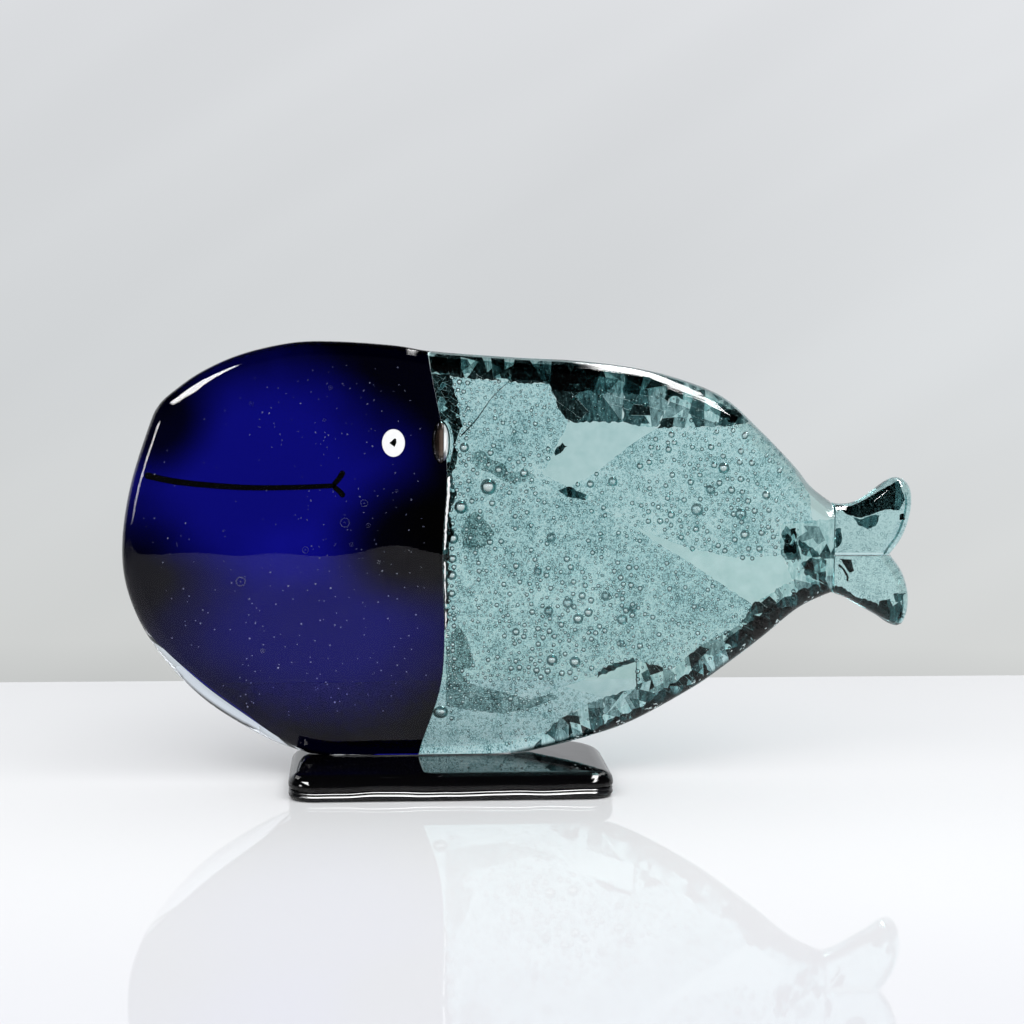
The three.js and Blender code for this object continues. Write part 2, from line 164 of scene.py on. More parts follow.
# Shard corners as shares of body length and whale height
CORNER = {
    "seamTop": (-0.09, 1.06), "seamBand": (-0.09, 0.926), "seamCrack": (-0.09, 0.759),
    "seamMiddle": (-0.09, 0.662), "seamKeel": (-0.09, 0.149), "seamFoot": (-0.09, -0.06),
    "topFront": (0.283, 1.06), "topMiddle": (0.463, 1.06), "topRear": (0.637, 1.02),
    "shoulder": (0.93, 0.88), "crackTop": (0.164, 0.904), "crackFoot": (0.049, 0.777),
    "crownRear": (0.272, 0.899), "crownStep": (0.29, 0.845), "crownSide": (0.319, 0.808),
    "crownPoint": (0.252, 0.681), "crownBottom": (0.149, 0.642), "wedgeTop": (0.457, 0.806),
    "wedgeRear": (0.547, 0.794), "wedgeSide": (0.483, 0.757), "wedgeLow": (0.373, 0.674),
    "wedgePoint": (0.319, 0.65), "wedgeFront": (0.252, 0.681), "backChipEnd": (0.766, 0.799),
    "filmTop": (0.822, 0.765), "filmSide": (0.882, 0.699), "filmRear": (0.938, 0.618),
    "filmEnd": (0.95, 0.562), "flankTip": (0.483, 0.554), "flankLow": (0.625, 0.501),
    "flankMiddle": (0.75, 0.476), "rootFront": (0.871, 0.481), "rootTop": (0.864, 0.559),
    "rootRear": (1.06, 0.575), "rootLow": (0.902, 0.422), "rootEnd": (0.92, 0.383),
    "tailLow": (1.06, 0.39), "clearTip": (0.797, 0.361), "clearSide": (0.571, 0.501),
    "splinterTop": (0.501, 0.222), "splinterFront": (0.308, 0.159),
    "splinterFoot": (0.499, 0.154), "splinterLow": (0.416, 0.132), "keelTop": (0.167, 0.149),
    "keelMiddle": (0.182, 0.105), "keelFoot": (0.164, -0.06), "keelStep": (0.303, 0.081),
    "keelEnd": (0.226, 0.01), "footEnd": (0.226, -0.06), "chipFoot": (0.406, -0.06),
    "chipInnerFront": (0.589, 0.198), "chipInnerMiddle": (0.663, 0.259),
    "chipInnerRear": (0.766, 0.308), "chipOuterFront": (0.676, 0.05),
    "chipOuterMiddle": (0.869, 0.2), "chipOuterRear": (1.06, 0.3),
}
CHIPS = {
    "top_chip_front": "seamTop topFront crownRear crackTop seamBand",
    "top_chip_middle": "topFront topMiddle wedgeTop crownSide crownStep crownRear",
    "top_chip_rear": "topMiddle topRear wedgeRear wedgeTop",
    "back_chip": "topRear shoulder backChipEnd wedgeRear",
    "lower_chip_foot": "keelEnd keelStep splinterLow chipFoot footEnd",
    "lower_chip_front": "splinterLow splinterFoot splinterTop chipInnerFront chipOuterFront "
    "chipFoot",
    "lower_chip_middle": "chipInnerFront chipInnerMiddle chipInnerRear chipOuterMiddle "
    "chipOuterFront",
    "lower_chip_rear": "chipInnerRear clearTip rootLow rootEnd tailLow chipOuterRear "
    "chipOuterMiddle",
    "tail_root_chip": "rootTop rootRear tailLow rootEnd rootLow rootFront",
}
FILMS = {
    "crown_shard_front": "seamBand crackTop crackFoot seamCrack",
    "crown_shard_rear": "crackTop crownRear crownStep crownSide crownPoint crownBottom seamMiddle "
    "seamCrack crackFoot",
    "flank_shard": "wedgeRear backChipEnd filmTop filmSide filmRear filmEnd rootTop rootFront "
    "flankMiddle flankLow flankTip wedgePoint wedgeLow wedgeSide",
    "belly_shard": "seamMiddle crownBottom crownPoint wedgePoint flankTip clearSide clearTip "
    "chipInnerRear chipInnerMiddle chipInnerFront splinterTop splinterFront keelTop seamKeel",
    "keel_shard_front": "seamKeel keelTop keelMiddle keelFoot seamFoot",
    "keel_shard_rear": "keelTop splinterFront splinterLow keelStep keelEnd footEnd keelFoot "
    "keelMiddle",
}
CLEAR_WEDGES = {
    "upper_clear_wedge": "crownSide wedgeTop wedgeRear wedgeSide wedgeLow wedgePoint wedgeFront",
    "middle_clear_wedge": "flankTip flankLow flankMiddle rootFront rootLow clearTip clearSide",
    "lower_clear_wedge": "splinterFront splinterTop splinterFoot splinterLow",
}

# Bubbles in the body, in mm: (behind the seam, above the foot, radius)
CLEAR_BUBBLES = (
    (11.5, 67.6, 2.17), (5.4, 77.5, 1.28), (12, 76.2, 0.89), (14.1, 71.9, 1.02),
    (20.5, 71.1, 1.15), (7.7, 71.9, 0.64), (11.5, 73.2, 0.64), (12.5, 63.5, 0.89), (7.4, 64, 0.77),
    (37.3, 68.3, 1.02), (14.8, 53.8, 0.77), (12, 53.6, 0.89), (71.3, 72.4, 1.53),
    (82.3, 65.5, 1.15), (77, 55.4, 1.28), (73.4, 66.8, 1.02), (75.7, 69.6, 0.89),
    (78.5, 73.7, 0.89), (75.4, 73.9, 0.84), (71.1, 75.4, 0.77), (77.7, 64, 0.89),
    (76.2, 66.3, 0.77), (65.2, 70.6, 0.77), (62.9, 68.8, 0.89), (63.2, 77.7, 0.69),
    (62.6, 73.4, 0.64), (58, 60.5, 1.02), (55.2, 58.9, 0.89), (52.2, 58.9, 0.77),
    (52.7, 77.7, 0.77), (49.9, 72.9, 0.89), (81.3, 55.9, 0.89), (74.4, 54.1, 0.84),
    (83.1, 61.7, 0.77), (80.8, 51.8, 0.89), (78, 51.8, 0.77), (71.9, 51.3, 0.77),
    (76.5, 49.5, 0.69), (79, 49.3, 0.59), (27.9, 23.4, 1.53), (33.8, 22.9, 1.53), (34.5, 34, 1.41),
    (37.1, 35.6, 1.2), (35.5, 39.9, 1.02), (22.8, 35.8, 0.84), (31.5, 49.3, 0.89),
    (18.7, 30.7, 1.02), (25.6, 29.2, 0.77), (20.7, 29.5, 0.77), (24.3, 31.5, 0.77),
    (18.4, 27.7, 0.64), (13.8, 37.6, 0.64), (24, 20.8, 0.89), (26.8, 20.6, 0.89),
    (25.1, 19.1, 0.77), (22, 21.6, 0.64), (38.1, 21.3, 0.77), (43.5, 21.3, 0.77),
    (3.1, 23.9, 0.69), (17.4, 13.5, 0.77), (4.6, 62.5, 1.8), (2.6, 54.6, 1.5), (2.5, 49.4, 1.2),
    (2.4, 45.2, 1.3), (2.4, 40.6, 1.0),
)
SOFT_BUBBLES = (
    (27.6, 54.6, 1.28), (43.2, 68.8, 1.28), (68.3, 66.8, 1.28), (64.9, 61.7, 1.66),
    (76.2, 60.5, 1.53), (32, 37.8, 1.41), (27.1, 35.8, 1.28), (46, 33.5, 1.41), (41.7, 39.6, 1.28),
    (24.3, 46, 1.15), (48.8, 36.6, 1.15), (45.8, 27.4, 1.02),
)
HEAD_BUBBLES = (
    (-24.5, 58.9, 1.3), (-50.4, 44.2, 1.3), (-19.7, 63.8, 1.0), (-34.3, 52.1, 0.9),
    (-22.9, 53.4, 0.6), (-18.6, 58.2, 0.6), (-11.6, 66.8, 0.5), (-16, 49, 0.5), (-28, 92.5, 0.6),
    (-45, 26.7, 0.6), (-29.5, 84.5, 0.5), (-47.5, 88.5, 0.6),
)
# Crowds of pin-head bubbles in the head, in mm: (low corner, high corner)
HEAD_SEEDS = 360
WHOLE_HEAD = ((-76, 8), (-4, 100))
HEAD_CROWDS = (WHOLE_HEAD,) * 3 + (
    ((-48, 78), (-8, 100)), ((-34, 42), (-4, 68)), ((-70, 10), (-14, 50)), ((-70, 10), (-6, 44)),
)
SEED_RADII = (0.1, 0.11, 0.12, 0.14, 0.16, 0.21)
SEED_HALF_DEPTH = 0.08 * MM
SEED_RIM = 5 * MM
SEED_SEAM_GAP = 3 * MM
# A large bubble in the head is painted as a bright ring around a small bright dot, painted
# highlights for the light it catches
RING_DEPTH = 0.1 * MM
RING_HALF_DEPTH = 0.3 * MM
DOT_SIZE = (0.22 * MM, 0.1 * MM, 0.22 * MM)
# Crowds of small bubbles, in mm: (low corner, high corner, count, smallest and largest radius)
CROWDS = (
    ((1.2, 62), (7, 94), 60, 0.3, 0.75),
    ((1.3, 8), (3.2, 62), 50, 0.35, 0.75),
    ((1.5, 10), (28, 20), 60, 0.25, 0.55),
    ((14, 19), (50, 46), 80, 0.3, 0.65),
    ((58, 48), (86, 80), 60, 0.3, 0.6),
    ((2, 94), (30, 97), 24, 0.3, 0.6),
    ((8, 60), (26, 76), 40, 0.3, 0.7),
    ((52, 50), (86, 82), 60, 0.5, 0.95),
    ((14, 18), (52, 48), 80, 0.5, 0.95),
    ((4, 18), (90, 92), 170, 0.42, 0.75),
    ((1, 2), (92, 97), 1000, 0.17, 0.4),
)

# Tones of broken glass, from a face that lets light through to one that turns it all away
BROKEN_TONES = (
    ("pale_broken_glass", "#b0ced0", "#f4ffff"),
    ("grey_broken_glass", "#587376", "#b2c8ca"),
    ("dark_broken_glass", "#1b2f32", "#5c8083"),
    ("black_broken_glass", "#030606", "#263637"),
)
# Broken pieces: size of their facets in mm and how often each tone comes up
BREAKS = {
    "top_chip_front": (3.4, (14, 14, 28, 44)),
    "top_chip_middle": (6.5, (2, 4, 54, 40)),
    "top_chip_rear": (3.0, (24, 36, 28, 12)),
    "back_chip": (2.8, (22, 34, 28, 16)),
    "lower_chip_foot": (2.8, (18, 32, 28, 22)),
    "lower_chip_front": (2.6, (26, 32, 22, 20)),
    "lower_chip_middle": (2.6, (24, 30, 24, 22)),
    "lower_chip_rear": (2.8, (34, 30, 20, 16)),
    "tail_root_chip": (3.4, (42, 42, 13, 3)),
    "top_breaks": (3.6, (20, 18, 28, 34)),
    "lower_breaks": (4.0, (3, 4, 18, 75)),
    "seam_breaks": (1.7, (12, 6, 14, 68)),
    "root_breaks": (1.7, (20, 32, 34, 14)),
    "edge_breaks": (1.6, (14, 14, 28, 44)),
    "seam_crumbs": (0.8, (100, 0, 0, 0)),
    "upper_fluke_chips": (3.8, (2, 4, 22, 72)),
    "lower_fluke_chips": (3.4, (0, 2, 14, 84)),
}
# Broken glass: spread of the facets' areas, cracks between them, and how often a tone repeats
FACET_SPREAD = (0.25, 1.7)
LEAST_FACET = 0.2 * MM
FACET_THICKNESS = 0.5 * MM
CRACK_GAP = 0.035 * MM
MOST_SHRINK = 0.3
CRACK_TURN = 0.75
CRACK_OFFSET = 0.12
SAME_TONE = 0.4
# Broken edges: spacing of their points and height of their steps
FILM_EDGE = (0.9 * MM, 0.16 * MM)
CHIP_EDGE = (0.8 * MM, 0.32 * MM)
BREAK_EDGE = (0.8 * MM, 0.35 * MM)
CRUMB_EDGE = (0.7 * MM, 0.14 * MM)
CRACK_EDGE = (0.4 * MM, 0.06 * MM)
FLUKE_CHIP_EDGE = (0.5 * MM, 0.12 * MM)
BEAD_EDGE = (1 * MM, 0.25 * MM)
# Pale flakes along the lower rim that paint its glints; spans and sizes in mm
RIM_FLAKES = 70
FLAKES_START, FLAKES_END = 33 * MM, 3 * MM
FLAKE_CLUSTER = (2, 6)
FLAKE_INSETS = (0.25, 2.2)
FLAKE_SPREAD = 1.3
FLAKE_LENGTHS = (0.1, 0.55)
FLAKE_WIDTHS = (0.05, 0.22)
FLAKE_LEAN = 0.6
FLAKE_CORNERS = 7
FLAKE_JAGS = (0.5, 1.1)
FLAKE_PROUD, FLAKE_SUNK = 0.04 * MM, 0.16 * MM
# White crumbs along the seam, crushed glass that also paints sparkle, in mm: (lowest, highest,
# width below and above)
CRUMB_RUNS = ((50, 72, (0.35, 0.75)), (27, 50, (0.12, 0.3)))
CRUMB_OFFSET = 0.45 * MM
CRACK_WIDTHS = (0.12 * MM, 0.3 * MM)
# Fine dark cracks, as lines of shares
CRACKS = (
    ((0.166, 0.906), (0.12, 0.862), (0.086, 0.815), (0.047, 0.775)),
    ((0.499, 0.236), (0.497, 0.2), (0.5, 0.15)),
)

# Dark patches in the body as shares of body length and whale height. Those along the top and lower
# rims are broken glass and also painted shade: the dark band that the rims show
DARK_PATCHES = {
    "top_breaks": (
        ((-0.05, 0.97), (0.072, 0.97), (0.265, 0.96), (0.406, 0.95), (0.509, 0.93), (0.555, 0.891),
         (0.522, 0.872), (0.45, 0.879), (0.355, 0.882), (0.283, 0.884), (0.265, 0.906),
         (0.164, 0.911), (0.072, 0.923), (-0.05, 0.928)),
        ((0.571, 0.905), (0.637, 0.88), (0.702, 0.85), (0.753, 0.812), (0.735, 0.806),
         (0.684, 0.83), (0.622, 0.857), (0.565, 0.879)),
    ),
    "lower_breaks": (
        ((0.722, 0.272), (0.779, 0.313), (0.838, 0.355), (0.899, 0.39), (0.966, 0.414),
         (0.982, 0.37), (0.935, 0.33), (0.863, 0.28), (0.776, 0.225)),
    ),
    "seam_breaks": (
        ((-0.06, 0.925), (0.02, 0.92), (0.028, 0.88), (0.04, 0.84), (0.05, 0.8), (0.03, 0.76),
         (0.04, 0.72), (0.022, 0.68), (0.035, 0.63), (0.016, 0.58), (0.028, 0.54), (0.014, 0.5),
         (0.025, 0.46), (0.012, 0.42), (0.018, 0.36), (0.008, 0.3), (-0.06, 0.3)),
    ),
    "root_breaks": (
        ((0.912, 0.52), (0.946, 0.503), (0.977, 0.476), (0.92, 0.484)),
        ((0.869, 0.54), (0.881, 0.557), (0.894, 0.545), (0.905, 0.55), (0.905, 0.486),
         (0.876, 0.488)),
        ((0.92, 0.462), (0.951, 0.476), (0.985, 0.474), (0.985, 0.398), (0.951, 0.401),
         (0.935, 0.425)),
    ),
    "edge_breaks": (
        ((0.283, 0.74), (0.3, 0.757), (0.316, 0.75), (0.3, 0.735), (0.283, 0.725)),
        ((0.303, 0.012), (0.38, 0.05), (0.437, 0.085), (0.509, 0.112), (0.56, 0.149),
         (0.637, 0.198), (0.673, 0.217), (0.689, 0.19), (0.637, 0.145), (0.565, 0.1),
         (0.483, 0.06), (0.396, 0.025)),
        ((0.293, 0.642), (0.319, 0.652), (0.37, 0.628), (0.362, 0.618), (0.314, 0.63)),
        ((0.396, 0.183), (0.457, 0.212), (0.493, 0.222), (0.493, 0.232), (0.447, 0.222),
         (0.396, 0.198)),
    ),
}
DUSKY_PATCHES = (
    ((0.01, 0.183), (0.041, 0.203), (0.072, 0.169), (0.149, 0.149), (0.226, 0.129),
     (0.283, 0.144), (0.293, 0.132), (0.226, 0.107), (0.149, 0.095), (0.072, 0.105),
     (0.01, 0.115)),
    ((0.01, 0.271), (0.041, 0.315), (0.067, 0.271), (0.082, 0.212), (0.041, 0.203),
     (0.01, 0.193)),
    ((0.072, 0.73), (0.098, 0.74), (0.123, 0.716), (0.154, 0.706), (0.164, 0.686),
     (0.221, 0.691), (0.236, 0.677), (0.18, 0.657), (0.149, 0.667), (0.118, 0.686),
     (0.082, 0.696)),
    ((0.082, 0.593), (0.113, 0.564), (0.134, 0.535), (0.113, 0.51), (0.082, 0.496),
     (0.051, 0.506), (0.046, 0.545), (0.062, 0.579)),
)
# Broken patches in the flukes, which also paint the dark that their rims show as shade, in mm from
# the tail joint and the flukes' seam
UPPER_FLUKE_PATCHES = (
    ((0.6, 12.2), (4.3, 11.7), (7.9, 13.5), (13.8, 16.5), (16.9, 18.3), (18.4, 14.2), (16.9, 11.4),
     (13.8, 11.7), (10, 10.4), (6.9, 9.4), (4.3, 10.2), (1.8, 11), (0.6, 11)),
    ((4.9, 9.9), (6.9, 9.1), (10, 10.2), (12, 10.2), (11, 7.4), (8.9, 6.6), (6.6, 7.6)),
    ((0.7, 6.9), (2, 6.9), (2.3, 3.3), (1.3, 1.8), (0.7, 1.8)),
    ((17.1, 10.4), (18.2, 10.7), (18.2, 8.9), (17.1, 8.9)),
)
LOWER_FLUKE_PATCHES = (
    ((1.8, -1), (4.9, -1.3), (5.6, -4.3), (4.3, -4.6), (3.1, -2.5)),
    ((1.8, -2.3), (3.1, -3.6), (4.1, -5.1), (4.3, -6.9), (3.8, -6.9), (3.6, -5.3), (2.6, -3.8),
     (1.5, -2.8)),
    ((0.7, -7.7), (2.8, -8.3), (6.9, -10.5), (12, -12.7), (12, -14.6), (6.9, -12.2), (2.3, -9.4),
     (0.7, -8.8)),
    ((11.5, -14.7), (12.5, -11.9), (15.1, -11.4), (15.9, -13.5), (17.6, -11.9), (18.4, -13.2),
     (18, -16), (16.9, -16.8), (13.8, -15.8)),
    ((15.9, -9.9), (18.5, -9.9), (18.3, -11.9), (16.6, -12.2)),
)
# Breaks set deeper and nearer the rim, where they also paint the rim's dark band as shade
OUTER_BREAKS = ("lower_breaks", "edge_breaks")
# Films that take a lighter copy of the seedy glass: painted light
FILMS_PAINTED_LIGHTER = ("flank_shard", "keel_shard_front", "keel_shard_rear")

# Air pockets that straddle the seam, in mm: (behind the seam, above the foot, half sizes)
SEAM_POCKETS = ((-0.5, 78.9, (2.4, 2.2, 5.5)), (-0.4, 10.4, (2, 1.8, 1.6)))
POCKET_DEPTH = -1.2 * MM
POCKET_SHIFT = 0.8 * MM
# Room around them that bubbles keep out of: (behind the seam, above the foot, radius)
POCKET_ROOM = (
    (-0.8, 74, 2.6), (-0.8, 77, 2.6), (-0.8, 80, 2.6), (-0.8, 83, 2.6), (-0.4, 10.4, 2.2),
)
# The painted reflection that the upper pocket shows, dark with a bright crescent: half sizes, place
# and depth
POCKET_MIRROR = (2.1 * MM, 0.5 * MM, 5.1 * MM)
POCKET_MIRROR_SPOT = (-0.7, 78.9)
POCKET_MIRROR_DEPTH = 0.38 * MM

# The pale lip along the head's lower rim, paler glass that paints a glow of light there: its ends
# in mm, its width and its overlap past the rim
LIP_START, LIP_END = (-76.5, 32.8), (-34, 0.5)
LIP_WIDTH, LIP_LEAST, LIP_FULLNESS = 3.5 * MM, 0.05 * MM, 0.8
LIP_OVERLAP = 2 * MM

# Eye and mouth, in mm: the eye and the mouth's fork from seam and foot, the rest from those
EYE, EYE_WIDTH, EYE_HEIGHT = (-12.4, 78.8), 5.8 * MM, 7 * MM
PUPIL = ((-1.1, 0.0), (-0.2, 0.8), (0.2, 1.2), (0.7, 1.1), (0.8, 0.1), (0.3, -1.05))
MOUTH_FORK = (-27.3, 68.1)
MOUTH = ((0, 0), (-12, -0.45), (-24, -0.35), (-38, 0.9), (-45.8, 2.5))
MOUTH_WIDTHS = (1.25 * MM, 1.7 * MM)
FORK_SIDES = {"mouth_fork_upper": 1, "mouth_fork_lower": -0.72}
FORK_START, FORK_ARM = (0.3, 0.6), ((0, 0), (1.0, 1.1), (1.9, 2.5))
FORK_WIDTHS = (1.3 * MM, 1.5 * MM)
INLAY_ROUND = 0.08 * MM
INLAY_SPACING, PUPIL_SPACING = 0.28 * MM, 0.14 * MM
INLAY_PROUD, PUPIL_PROUD, BED_PROUD = 0.02 * MM, 0.05 * MM, 0.3 * MM
BED_EASE = -0.03 * MM

# The base's plan, and the edges of its two layers from below: (inset, height) in mm
BASE_FRONT_CORNER, BASE_REAR_CORNER = 6 * MM, 13 * MM
BASE_INSET = 0.15 * MM
BASE_CORNER_STEPS = 12
BASE_SPACING = 1.5 * MM
RIPPLE_SIZE = 15 * MM
FOOT_LAYER = (
    (2.0, 0.02), (1.0, 0.12), (0.4, 0.45), (0.14, 0.9), (0.08, 1.25), (0.16, 1.5), (0.34, 1.68),
    (0.42, 1.78), (0.34, 1.9), (0.18, 2.05), (0.16, 2.2), (0.26, 2.36), (0.5, 2.5), (1.2, 2.6),
    (2.4, 2.62),
)
TOP_LAYER = (
    (2.6, 2.48), (1.4, 2.5), (0.6, 2.62), (0.25, 2.86), (0.1, 3.25), (0.05, 3.7), (0.12, 4.3),
    (0.4, 4.95), (0.9, 5.5), (1.6, 5.98), (2.5, 6.3), (3.4, 6.43), (4.2, 6.46),
)
# Heights between which each layer's edge waves
TOP_WAVES, FOOT_WAVES = (0, 5 * MM), (0.1 * MM, 9 * MM)
BEAD_WIDTH = 5.4 * MM
BEAD_END = 3 * MM
BEAD_STEPS = 24

# Typical of soda-lime art glass
GLASS_IOR = 1.48
OPAQUE_GLASS_IOR = 1.52
# Painted light and shade in the head's core, as pools: (mm behind the seam, mm above the foot,
# reach in mm across and up, the share of the reach that stays even, light let through in the
# middle, and outside)
UPPER_PAINTED_LIGHT = (-44, 70.5, (45, 34), 0.4, 0.72, 0.0)
LOWER_PAINTED_LIGHT = (-31, 32.5, (45, 30), 0.3, 0.52, 0.012)
SEAM_PAINTED_SHADE = (-4.6, 54, (29, 22), 0.35, 0.03, 1.0)
BROW_PAINTED_SHADE = (-70.8, 85.3, (19, 19), 0.3, 0.06, 1.0)
CLOUD_SHARE = 0.3
# The head's bubbles fade between two heights, from one strength to another
FADE_FROM, FADE_TO = FOOT_Z + 40 * MM, FOOT_Z + 50 * MM
LOW_SEEDS, HIGH_SEEDS = 0.48, 0.22

# Stage, in metres: the floor's corners, and its coats' heights
FLOOR_LOW, FLOOR_HIGH = (-1.4, -0.515), (1.4, 0.149)
FLOOR_Z, FIRST_COAT_Z, LAST_COAT_Z = -0.05 * MM, -0.03 * MM, -0.01 * MM
# A ray off the floor has crossed the two coats twice; one straight off the glass crosses fewer
FLOOR_CROSSINGS = 3.5
SOFTBOX_STRENGTH = 24.0
# Lamps: degrees around the whale and towards the viewer, distance and size in metres, watts
LAMPS = {
    "left_softbox": (122, 30, 0.85, (0.5, 0.3), 1.0),
    "right_softbox": (66, 20, 0.85, (0.5, 0.4), 1.7),
    "front_fill": (95, 50, 1.05, (0.6, 0.8), 4.7),
}
EDGE_LAMPS = {
    "edge_strip_rear": (86, 20, 0.7, (0.2, 0.6), 20.0),
    "edge_strip_front": (86, 45, 0.7, (0.2, 0.6), 20.0),
}
# The camera: angles in radians, place in mm
CAMERA_PITCH, CAMERA_YAW, CAMERA_ROLL = 0.0916167, 0.0731088, 0.0058088
CAMERA_PLACE = (-21.5, -507.2, 115.1)
CAMERA_LENS = 71.67
CAMERA_NEAR = 10 * MM
# Light has to cross many walls of bubbles and films
BOUNCES = {
    "max_bounces": 32, "transmission_bounces": 32, "glossy_bounces": 16,
    "transparent_max_bounces": 48,
}


def linear(hex_colour):
    """Linear colour of an sRGB hex value."""
    shares = [int(hex_colour[i : i + 2], 16) / 255 for i in (1, 3, 5)]
    return [s / 12.92 if s <= 0.04045 else ((s + 0.055) / 1.055) ** 2.4 for s in shares]


# Small tools for modelling


def deselect():
    """Leaves edit mode with nothing selected."""
    if bpy.context.object and bpy.context.object.mode != "OBJECT":
        bpy.ops.object.mode_set(mode="OBJECT")
    bpy.ops.object.select_all(action="DESELECT")


def activate(piece):
    """Makes a piece the only one selected."""
    deselect()
    piece.select_set(True)
    bpy.context.view_layer.objects.active = piece


def finish_with(piece, kind, **settings):
    """Adds a modifier to a piece and applies it."""
    activate(piece)
    modifier = piece.modifiers.new(kind.title(), kind)
    for key, value in settings.items():
        setattr(modifier, key, value)
    bpy.ops.object.modifier_apply(modifier=modifier.name)


def edit_all(piece):
    """Opens a piece in edit mode with everything selected."""
    activate(piece)
    bpy.ops.object.mode_set(mode="EDIT")
    bpy.ops.mesh.select_all(action="SELECT")


def flat_array(points):
    """Points in the whale's plane as an array."""
    return np.array([tuple(p) for p in points])


def enclosed(ring):
    """Area inside an outline, positive where the outline runs anticlockwise."""
    after = np.roll(ring, -1, 0)
    return np.sum(ring[:, 0] * after[:, 1] - after[:, 0] * ring[:, 1]) / 2


def anticlockwise(points):
    """The outline as an array that runs anticlockwise."""
    ring = flat_array(points)
    return ring if enclosed(ring) > 0 else ring[::-1]


def circle_onto(name, ring, y, fill):
    """A circle whose corners move onto an outline."""
    deselect()
    bpy.ops.mesh.primitive_circle_add(vertices=len(ring), radius=MM, fill_type=fill)
    piece = bpy.context.object
    piece.name = piece.data.name = name
    for corner, (x, z) in zip(piece.data.vertices, ring):
        corner.co = (x, y, z)
    return piece


def plate_of(name, points, low_y, high_y):
    """A flat plate between two Y values."""
    piece = circle_onto(name, anticlockwise(points), (low_y + high_y) / 2, "NGON")
    finish_with(piece, "SOLIDIFY", thickness=high_y - low_y, offset=0)
    return piece


def through(name, points, beyond=MM):
    """A plate that reaches through the whole slab."""
    return plate_of(name, points, FRONT_Y - beyond, BACK_Y + beyond)


def mesh_piece(name, corners, faces):
    """A piece from corners and faces that were worked out."""
    mesh = bpy.data.meshes.new(name)
    mesh.from_pydata(corners, [], faces)
    piece = bpy.data.objects.new(name, mesh)
    bpy.context.scene.collection.objects.link(piece)
    return piece


def evenly(points, spacing):
    """The same closed outline with evenly spaced points."""
    ring = anticlockwise(points)
    ring = np.concatenate([ring, ring[:1]])
    run = np.concatenate([[0], np.cumsum(np.linalg.norm(np.diff(ring, axis=0), axis=1))])
    at = np.linspace(0, run[-1], max(8, round(run[-1] / spacing)), endpoint=False)
    return np.stack([np.interp(at, run, ring[:, i]) for i in (0, 1)], axis=1)


def along(ring):
    """Unit directions along a closed outline."""
    run = np.roll(ring, -1, 0) - np.roll(ring, 1, 0)
    return run / np.linalg.norm(run, axis=1, keepdims=True)


def left_of(run):
    """Directions turned to their left, which is inwards on an anticlockwise outline."""
    return np.stack([-run[:, 1], run[:, 0]], axis=1)


def drawn_in(ring, distance):
    """An outline moved inwards, its points slid along it so that they never bunch at a corner."""
    steps = max(1, math.ceil(abs(distance) / DRAW_STEP))
    for _ in range(steps):
        ring = ring + left_of(along(ring)) * distance / steps
        for _ in range(SLIDE_PASSES):
            run = along(ring)
            pull = (np.roll(ring, 1, 0) + np.roll(ring, -1, 0)) / 2 - ring
            ring = ring + run * np.sum(pull * run, axis=1, keepdims=True) * SLIDE_SHARE
    return ring


def ragged(points, chance, spacing, amount):
    """An outline with the small steps of a broken edge."""
    ring = evenly(points, spacing)
    steps = np.array([[chance.uniform(-amount, amount)] for _ in ring])
    return ring + left_of(along(ring)) * steps


def half_of(ring, point, normal):
    """The part of an outline on one side of a line."""
    side = (ring - point) @ normal
    kept = []
    for i in range(len(ring)):
        a, b, from_a, from_b = ring[i - 1], ring[i], side[i - 1], side[i]
        if (from_a >= 0) != (from_b >= 0):
            kept.append(a + (b - a) * from_a / (from_a - from_b))
        if from_b >= 0:
            kept.append(b)
    return np.array(kept)


def broken(ring, chance, size):
    """An outline broken by straight cracks into facets of about a size."""
    left, facets = [ring], []
    while left:
        part = left.pop()
        if len(part) < 3:
            continue
        middle, area = part.mean(0), abs(enclosed(part))
        if area < size * size * chance.uniform(*FACET_SPREAD):
            if area > LEAST_FACET**2:
                shrink = 1 - min(MOST_SHRINK, CRACK_GAP / math.sqrt(area))
                facets.append(middle + (part - middle) * shrink)
            continue
        longest = np.linalg.svd(part - middle)[2][0]
        turn = math.atan2(longest[1], longest[0]) + chance.uniform(-CRACK_TURN, CRACK_TURN)
        normal = np.array((math.cos(turn), math.sin(turn)))
        offset = chance.uniform(-CRACK_OFFSET, CRACK_OFFSET)
        point = middle + normal * offset * np.ptp(part @ normal)
        left += [half_of(part, point, normal), half_of(part, point, -normal)]
    return facets


def mosaic(name, rings, chance, depth_y):
    """Thin facets of broken glass, each with one of the four tones."""
    size, weights = BREAKS[name]
    facets = [f for ring in rings for f in broken(anticlockwise(ring), chance, size * MM)]
    corners, faces = [], []
    for facet in facets:
        faces.append(list(range(len(corners), len(corners) + len(facet))))
        corners += [(x, depth_y, z) for x, z in facet]
    piece = mesh_piece(name, corners, faces)
    for tone, *_ in BROKEN_TONES:
        piece.data.materials.append(bpy.data.materials[tone])
    tones = []
    for _ in faces:
        same = tones and chance.random() < SAME_TONE
        tones.append(tones[-1] if same else chance.choices(range(len(weights)), weights)[0])
    piece.data.polygons.foreach_set("material_index", tones)
    finish_with(piece, "SOLIDIFY", thickness=FACET_THICKNESS, offset=0)
    return piece


